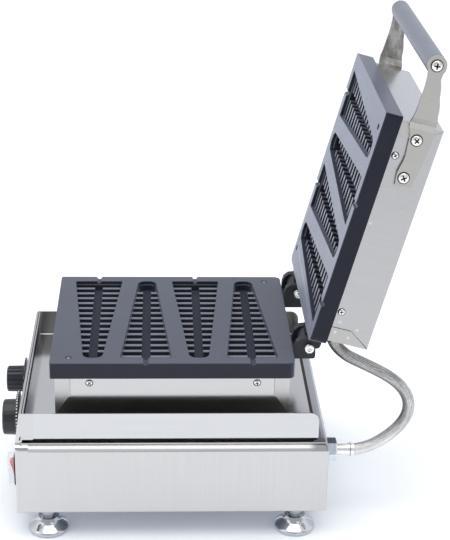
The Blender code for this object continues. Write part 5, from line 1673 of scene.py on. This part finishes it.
@dataclass
class Dials:
    """White marks round the skirts, the timer's raised rim and a pointer on each grip.

    A tick's numbers are its reach, length, height and slope, and the pointer's shares are of its
    grip's radius.
    """

    machine: Machine
    tick_width: float = 1.1 * MM
    tick_height: float = 0.25 * MM
    rim_loop: tuple[Spot, ...] = (
        (27.6, 1.2),
        (28.1, 2.9),
        (28.4, 3.0),
        (30.7, 3.0),
        (31.0, 2.7),
        (31.0, 0.3),
        (30.7, 0.05),
        (27.6, 0.05),
    )
    timer_tick: tuple[float, float, float, float] = (30.8 * MM, 1.9 * MM, 3.0 * MM, 0)
    heat_tick: tuple[float, float, float, float] = (26.5 * MM, 4.5 * MM, 1.5 * MM, 1.5 / 9.7)
    dot_size: tuple[float, float, float] = (0.3, 1.7, 1.5)
    dot_middle: tuple[float, float, float] = (30.97, 0, 1.5)
    timer_marks: int = 36
    edge_dots: int = 48
    heat_marks: int = 13
    heat_start: float = -210
    heat_step: float = 20
    timer_grip: float = 21.2 * MM
    heat_grip: float = 16.3 * MM
    pointer_width: float = 1.6 * MM
    pointer_height: float = 0.3 * MM
    pointer_length: float = 0.6
    pointer_middle: float = 0.52

    def seat(self, knob: Body) -> Matrix:
        """Where a knob's skirt meets the panel, with +Z out to the front."""
        x, _, z = self.machine.middle(knob.value)
        return Matrix.Translation((x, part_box(knob.value)[1].y, z)) @ Axis.FRONT.turn()

    def tick(
        self, name: str, reach: float, length: float, height: float, slope: float
    ) -> bpy.types.Object:
        """One mark on the face of a skirt, modelled along +X.

        Args:
            name: the object's name.
            reach: the skirt's radius.
            length: the mark's length inwards.
            height: how far the skirt's edge stands out there.
            slope: how much the face rises for each metre inwards.

        Returns:
            The mark.
        """
        size = Vector((length, self.tick_width, self.tick_height))
        mark = Bench.block(name, size, Vector((-length / 2 - FIT, 0, 0)))
        lie = Matrix.Rotation(math.atan(slope), 4, "Y")
        mark.data.transform(Matrix.Translation((reach, 0, height)) @ lie)
        return Bench.round_edges(mark, 0.05 * MM, 1)

    def rim(self) -> None:
        """The raised rim round the timer's skirt, which carries its dots."""
        loop = [(radius * MM, height * MM) for radius, height in self.rim_loop]
        ring = Bench.lathe("timer_rim", loop, True)
        Bench.smooth(ring)
        ring.data.transform(self.seat(Body.TIMER))
        self.machine.keep(ring, Body.TIMER, "black_plastic", "knob_black")

    def ring(self, knob: Body, label: str, master: bpy.types.Object, turns: list[float]) -> None:
        """Copies of one mark round a dial, as one piece.

        Args:
            knob: the body that the dial turns with.
            label: what the marks are.
            master: the mark, which is used up.
            turns: the marks' angles in degrees.
        """
        marks = []
        for index, turn in enumerate(turns):
            matrix = self.seat(knob) @ Matrix.Rotation(math.radians(turn), 4, "Z")
            marks.append(Bench.copy(master, f"{knob.value}_{label}_{index}", matrix))
        ring = Bench.join(*marks)
        ring.name = f"{knob.value}_{label}"
        bpy.data.objects.remove(master, do_unlink=True)
        self.machine.keep(ring, knob, "white_nylon", "mark_white")

    def pointer(self, knob: Body, radius: float) -> None:
        """A raised white line on a grip's front face, from near its middle to its edge.

        Args:
            knob: the body that the pointer turns with.
            radius: the grip's radius in metres.
        """
        x, _, z = self.machine.middle(knob.value)
        size = Vector((self.pointer_width, self.pointer_height, radius * self.pointer_length))
        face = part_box(knob.value)[0].y
        middle = Vector((x, face + 0.05 * MM, z + radius * self.pointer_middle))
        line = Bench.block(f"{knob.value}_pointer", size, middle)
        Bench.round_edges(line, 0.08 * MM)
        self.machine.keep(line, knob, "white_nylon", "mark_white")

    def build(self) -> None:
        """Makes both dials' marks."""
        self.rim()
        mark = self.tick("timer_mark", *self.timer_tick)
        self.ring(Body.TIMER, "scale", mark, self.evenly(self.timer_marks))
        mark = self.tick("heat_mark", *self.heat_tick)
        turns = [self.heat_start + self.heat_step * index for index in range(self.heat_marks)]
        self.ring(Body.THERMOSTAT, "scale", mark, turns)
        size, middle = Vector(self.dot_size) * MM, Vector(self.dot_middle) * MM
        dot = Bench.block("dot_master", size, middle)
        Bench.round_edges(dot, 0.1 * MM, 1)
        self.ring(Body.TIMER, "edge_dots", dot, self.evenly(self.edge_dots))
        self.pointer(Body.TIMER, self.timer_grip)
        self.pointer(Body.THERMOSTAT, self.heat_grip)

    @staticmethod
    def evenly(count: int) -> list[float]:
        """Angles in degrees that share out a full turn."""
        return [360 * index / count for index in range(count)]


# Hose


@dataclass
class Hose:
    """The braided hose from the ferrule to the lid, on one smooth route.

    The route is (behind the body's rear wall, above the table) in millimetres, all at the x that
    `across` gives.
    """

    machine: Machine
    radius: float = 7.1 * MM
    sides: int = 40
    step: float = 1.2 * MM
    curve_steps: int = 16
    settlings: int = 60
    across: float = 100
    lid_seat: Spot = (134.05, 244.9)
    lid_rise: float = 24
    lid_stub: float = 3.7 * MM
    bend_levels: Spot = (92, 234)
    bend_behind: float = 34
    groove_width: float = 0.9 * MM
    groove_depth: float = 1.2 * MM
    groove_back: float = 4.6 * MM
    groove_proud: float = 0.06 * MM
    groove_taper: float = 0.1 * MM
    route: tuple[Spot, ...] = (
        (47.9, 93.2),
        (56.6, 96.5),
        (64.9, 101.8),
        (76.4, 110.8),
        (87.9, 123.2),
        (94.8, 135.6),
        (96.7, 149.3),
        (93.7, 162.1),
        (85.4, 174.7),
        (75.6, 183.3),
        (65.5, 190.2),
        (56.5, 195.4),
        (45.9, 200.9),
        (36.6, 205.6),
        (28.2, 209.9),
        (20.0, 214.2),
        (13.1, 220.4),
        (7.4, 225.9),
    )

    def ends(self) -> tuple[Vector, Vector, Vector, Vector]:
        """Where the hose starts and ends.

        Returns:
            Its start at the ferrule, its end in the lid, the way it leaves the ferrule and the
            way it reaches the lid.
        """
        x, _, z = self.machine.middle("hose_ferrule")
        start = Vector((x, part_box("hose_ferrule")[1].y + FIT, z))
        seat = self.machine.at(self.across, *self.lid_seat)
        rise = math.radians(self.lid_rise)
        way = Vector((0, math.cos(rise), math.sin(rise)))
        turn = self.machine.opened()
        finish = turn @ (seat + way * self.lid_stub)
        inward = (turn @ seat - finish).normalized()
        return start, finish, Vector(Axis.REAR.value), inward

    def path(self) -> list[Vector]:
        """The centreline, eased until it bends evenly.

        Returns:
            Places from the ferrule to the lid, an even small step apart.
        """
        start, finish, out, inward = self.ends()
        run = self.radius / 2
        first, last = start + out * run, finish - inward * run
        knots = [start, first]
        wall = self.machine.half_body
        knots += [self.machine.at(self.across, wall + back, up) for back, up in self.route]
        knots += [last, finish]
        fine = [start]
        for four in zip(knots, knots[1:], knots[2:], knots[3:]):
            shares = [index / self.curve_steps for index in range(self.curve_steps)]
            fine += [between(*four, share) for share in shares]
        fine += [last, finish]
        total = length_of(fine)
        count = round(total / self.step)
        even, walked, index = [fine[0]], 0.0, 0
        for number in range(1, count):
            wanted = total * number / count
            while walked + (fine[index + 1] - fine[index]).length < wanted:
                walked += (fine[index + 1] - fine[index]).length
                index += 1
            share = (wanted - walked) / (fine[index + 1] - fine[index]).length
            even.append(fine[index].lerp(fine[index + 1], share))
        even.append(fine[-1])
        for _ in range(self.settlings):
            inner = [(a + 2 * b + c) / 4 for a, b, c in zip(even, even[1:], even[2:])]
            even = [even[0], *inner, even[-1]]
        return even

    def groove(self) -> None:
        """The dark line round the ferrule where its sleeve starts."""
        low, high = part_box("hose_ferrule")
        reach = (high.z - low.z) / 2 + self.groove_proud
        half, deep = self.groove_width / 2, reach - self.groove_depth
        lip = half - self.groove_taper
        rim = [(deep, half), (deep, -half), (reach, -lip), (reach, lip)]
        line = Bench.lathe("ferrule_groove", rim, True)
        x, _, z = self.machine.middle("hose_ferrule")
        spot = Vector((x, high.y - self.groove_back, z))
        line.data.transform(Matrix.Translation(spot) @ Axis.REAR.turn())
        Bench.smooth(line)
        self.machine.keep(line, Body.BASE, "chrome_plate", "recess_shade")

    def tube(self, path: list[Vector]) -> bpy.types.Object:
        """A closed tube round the path, with a UV map that follows it.

        Args:
            path: the centreline.

        Returns:
            The tube.
        """
        mesh = bmesh.new()
        chart = mesh.loops.layers.uv.new("weave")
        side = Vector(Axis.RIGHT.value)
        rings = []
        for index, here in enumerate(path):
            ahead = path[min(index + 1, len(path) - 1)] - path[max(index - 1, 0)]
            up = side.cross(ahead).normalized()
            ring = []
            for number in range(self.sides):
                turn = FULL_TURN * number / self.sides
                offset = side * math.cos(turn) + up * math.sin(turn)
                ring.append(mesh.verts.new(here + offset * self.radius))
            rings.append(ring)
        girth = FULL_TURN * self.radius
        for index, (one, two) in enumerate(zip(rings, rings[1:])):
            for number in range(self.sides):
                after = (number + 1) % self.sides
                face = mesh.faces.new((one[number], one[after], two[after], two[number]))
                face.smooth = True
                left, right = number, number + 1
                corners = ((left, index), (right, index), (right, index + 1), (left, index + 1))
                for loop, (u, v) in zip(face.loops, corners):
                    loop[chart].uv = (u / self.sides, v * self.step / girth)
        mesh.faces.new(rings[0])
        mesh.faces.new(list(reversed(rings[-1])))
        return Bench.bake("braided_hose", mesh)

    def build(self) -> None:
        """Makes the hose in place of the model's own, and the dark line round its ferrule."""
        path = self.path()
        hose = self.tube(path)
        self.machine.finishes.wear(hose, "woven_steel")
        length = length_of(path)
        behind = self.machine.half_body + self.bend_behind
        bottom, top = (self.machine.at(self.across, behind, level) for level in self.bend_levels)
        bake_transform(hose)
        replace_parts(hose, "hose")
        self.groove()
        self.machine.done.append(hose.name)
        LOG.info("made %s of %.0f mm", hose.name, length / MM)


# Studio


@dataclass(frozen=True)
class Lamp:
    """A square soft lamp that faces the machine, its size in metres and its power in watts."""

    name: str
    place: tuple[float, float, float]
    size: float
    power: float
    target: tuple[float, float, float] = (0, 0, 0.25)

    def hang(self) -> None:
        """Adds the lamp to the scene."""
        data = bpy.data.lights.new(self.name, "AREA")
        data.size = self.size
        data.energy = self.power
        lamp = bpy.data.objects.new(self.name, data)
        lamp.location = self.place
        aim = Vector(self.target) - Vector(self.place)
        lamp.rotation_euler = aim.to_track_quat("-Z", "Y").to_euler()
        bpy.context.scene.collection.objects.link(lamp)


@dataclass
class Studio:
    """A pale floor, soft light and the camera of the photograph.

    The eye is in millimetres about the body's middle, and the camera's pitch, swing and roll are
    in radians.
    """

    machine: Machine
    lamps: tuple[Lamp, ...] = (
        Lamp("overhead_box", (0.3, 0.0, 2.4), 2.2, 24),
        Lamp("front_box", (1.2, -2.0, 1.5), 1.6, 5),
        Lamp("side_box", (2.4, 1.4, 1.7), 1.4, 4),
    )
    floor_size: float = 14
    floor_drop: float = 0.2 * MM
    glow: Colour = (0.55, 0.72, 1.0)
    lens: float = 98.67
    film: float = 36
    eye: tuple[float, float, float] = (1624.25, -18.99, 973.88)
    pitch: float = 0.4041
    swing: float = 0.0499
    roll: float = 0.0214

    def camera(self) -> None:
        """Puts the camera where the photograph was taken from."""
        data = bpy.data.cameras.new("studio_camera")
        data.lens = self.lens
        data.sensor_width = self.film
        data.sensor_fit = "AUTO"
        data.clip_end = 50
        data.dof.use_dof = False
        flat = Vector((-math.cos(self.swing), math.sin(self.swing), 0))
        right = Vector((math.sin(self.swing), math.cos(self.swing), 0))
        rise = Vector((0, 0, 1))
        ahead = flat * math.cos(self.pitch) - rise * math.sin(self.pitch)
        up = flat * math.sin(self.pitch) + rise * math.cos(self.pitch)
        cosine, sine = math.cos(self.roll), math.sin(self.roll)
        rows = (cosine * right + sine * up, cosine * up - sine * right, -ahead)
        turn = Matrix(rows).transposed().to_4x4()
        camera = bpy.data.objects.new("studio_camera", data)
        camera.matrix_world = Matrix.Translation(self.machine.at(*self.eye)) @ turn
        bpy.context.scene.collection.objects.link(camera)
        bpy.context.scene.camera = camera

    def floor(self) -> None:
        """A wide pale floor that the shadows fall softly on."""
        Bench.clear()
        bpy.ops.mesh.primitive_plane_add(size=self.floor_size, location=(0, 0, -self.floor_drop))
        floor = bpy.context.object
        floor.name = "studio_floor"
        recipe = Recipe("floor_paint")
        cloud = recipe.noise(recipe.place(), 3, 2, 0.5)
        tint = recipe.blend(cloud, (0.95, 0.955, 0.965), (0.965, 0.97, 0.98))
        recipe.set(Base_Color=tint, Roughness=0.6)
        recipe.set(Emission_Color=self.glow, Emission_Strength=0.13)
        floor.data.materials.append(recipe.material)

    def world(self) -> None:
        """A soft bright room, dimmer behind the camera from the floor to well above it."""
        world = bpy.data.worlds.new("studio_room")
        world.use_nodes = True
        bpy.context.scene.world = world
        room = Graph(world.node_tree)
        way = room.node("ShaderNodeTexCoord", output="Generated")
        near, high = (room.part(way, axis) for axis in "XZ")
        above = high.step(-0.05, 0.12)
        dim = near.step(0.05, 0.6) * above * (1 - high.step(0.7, 0.95))
        far = (0 - near).step(0.2, 0.6) * above * (1 - high.step(0.6, 0.85))
        walls = room.blend(high.step(0.0, 0.4), (0.80, 0.81, 0.83), (1.0, 1.0, 1.0))
        shaded = room.blend(far, walls, (0.70, 0.72, 0.765))
        tint = room.blend(dim, shaded, (0.48, 0.485, 0.50))
        back = room.tree.nodes["Background"]
        room.plug(back.inputs["Color"], tint)
        room.plug(back.inputs["Strength"], 1.15)

    def build(self) -> None:
        """Sets up the whole studio."""
        self.camera()
        self.floor()
        self.world()
        for lamp in self.lamps:
            lamp.hang()
        scene = bpy.context.scene
        scene.view_settings.view_transform = "Standard"
        scene.view_settings.look = "None"
        scene.view_settings.exposure = 0.0
        LOG.info("studio is set")


def main() -> None:
    """Loads the frame, dresses it, adds its pieces and sets the studio."""
    logging.basicConfig(level=logging.INFO, format="%(message)s")
    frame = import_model()
    Bench.clear()
    machine = Machine()
    machine.finishes = Finishes(machine.lid_face(), machine.tray_front(), machine.rear())
    Studio(machine).build()
    Hose(machine).build()
    Bodywork(machine).dress(frame["nodes"])
    Fasteners(machine).build()
    Trim(machine).build()
    Dials(machine).build()
    LOG.info("made %d pieces", len(machine.done))


if __name__ == "__main__":
    main()
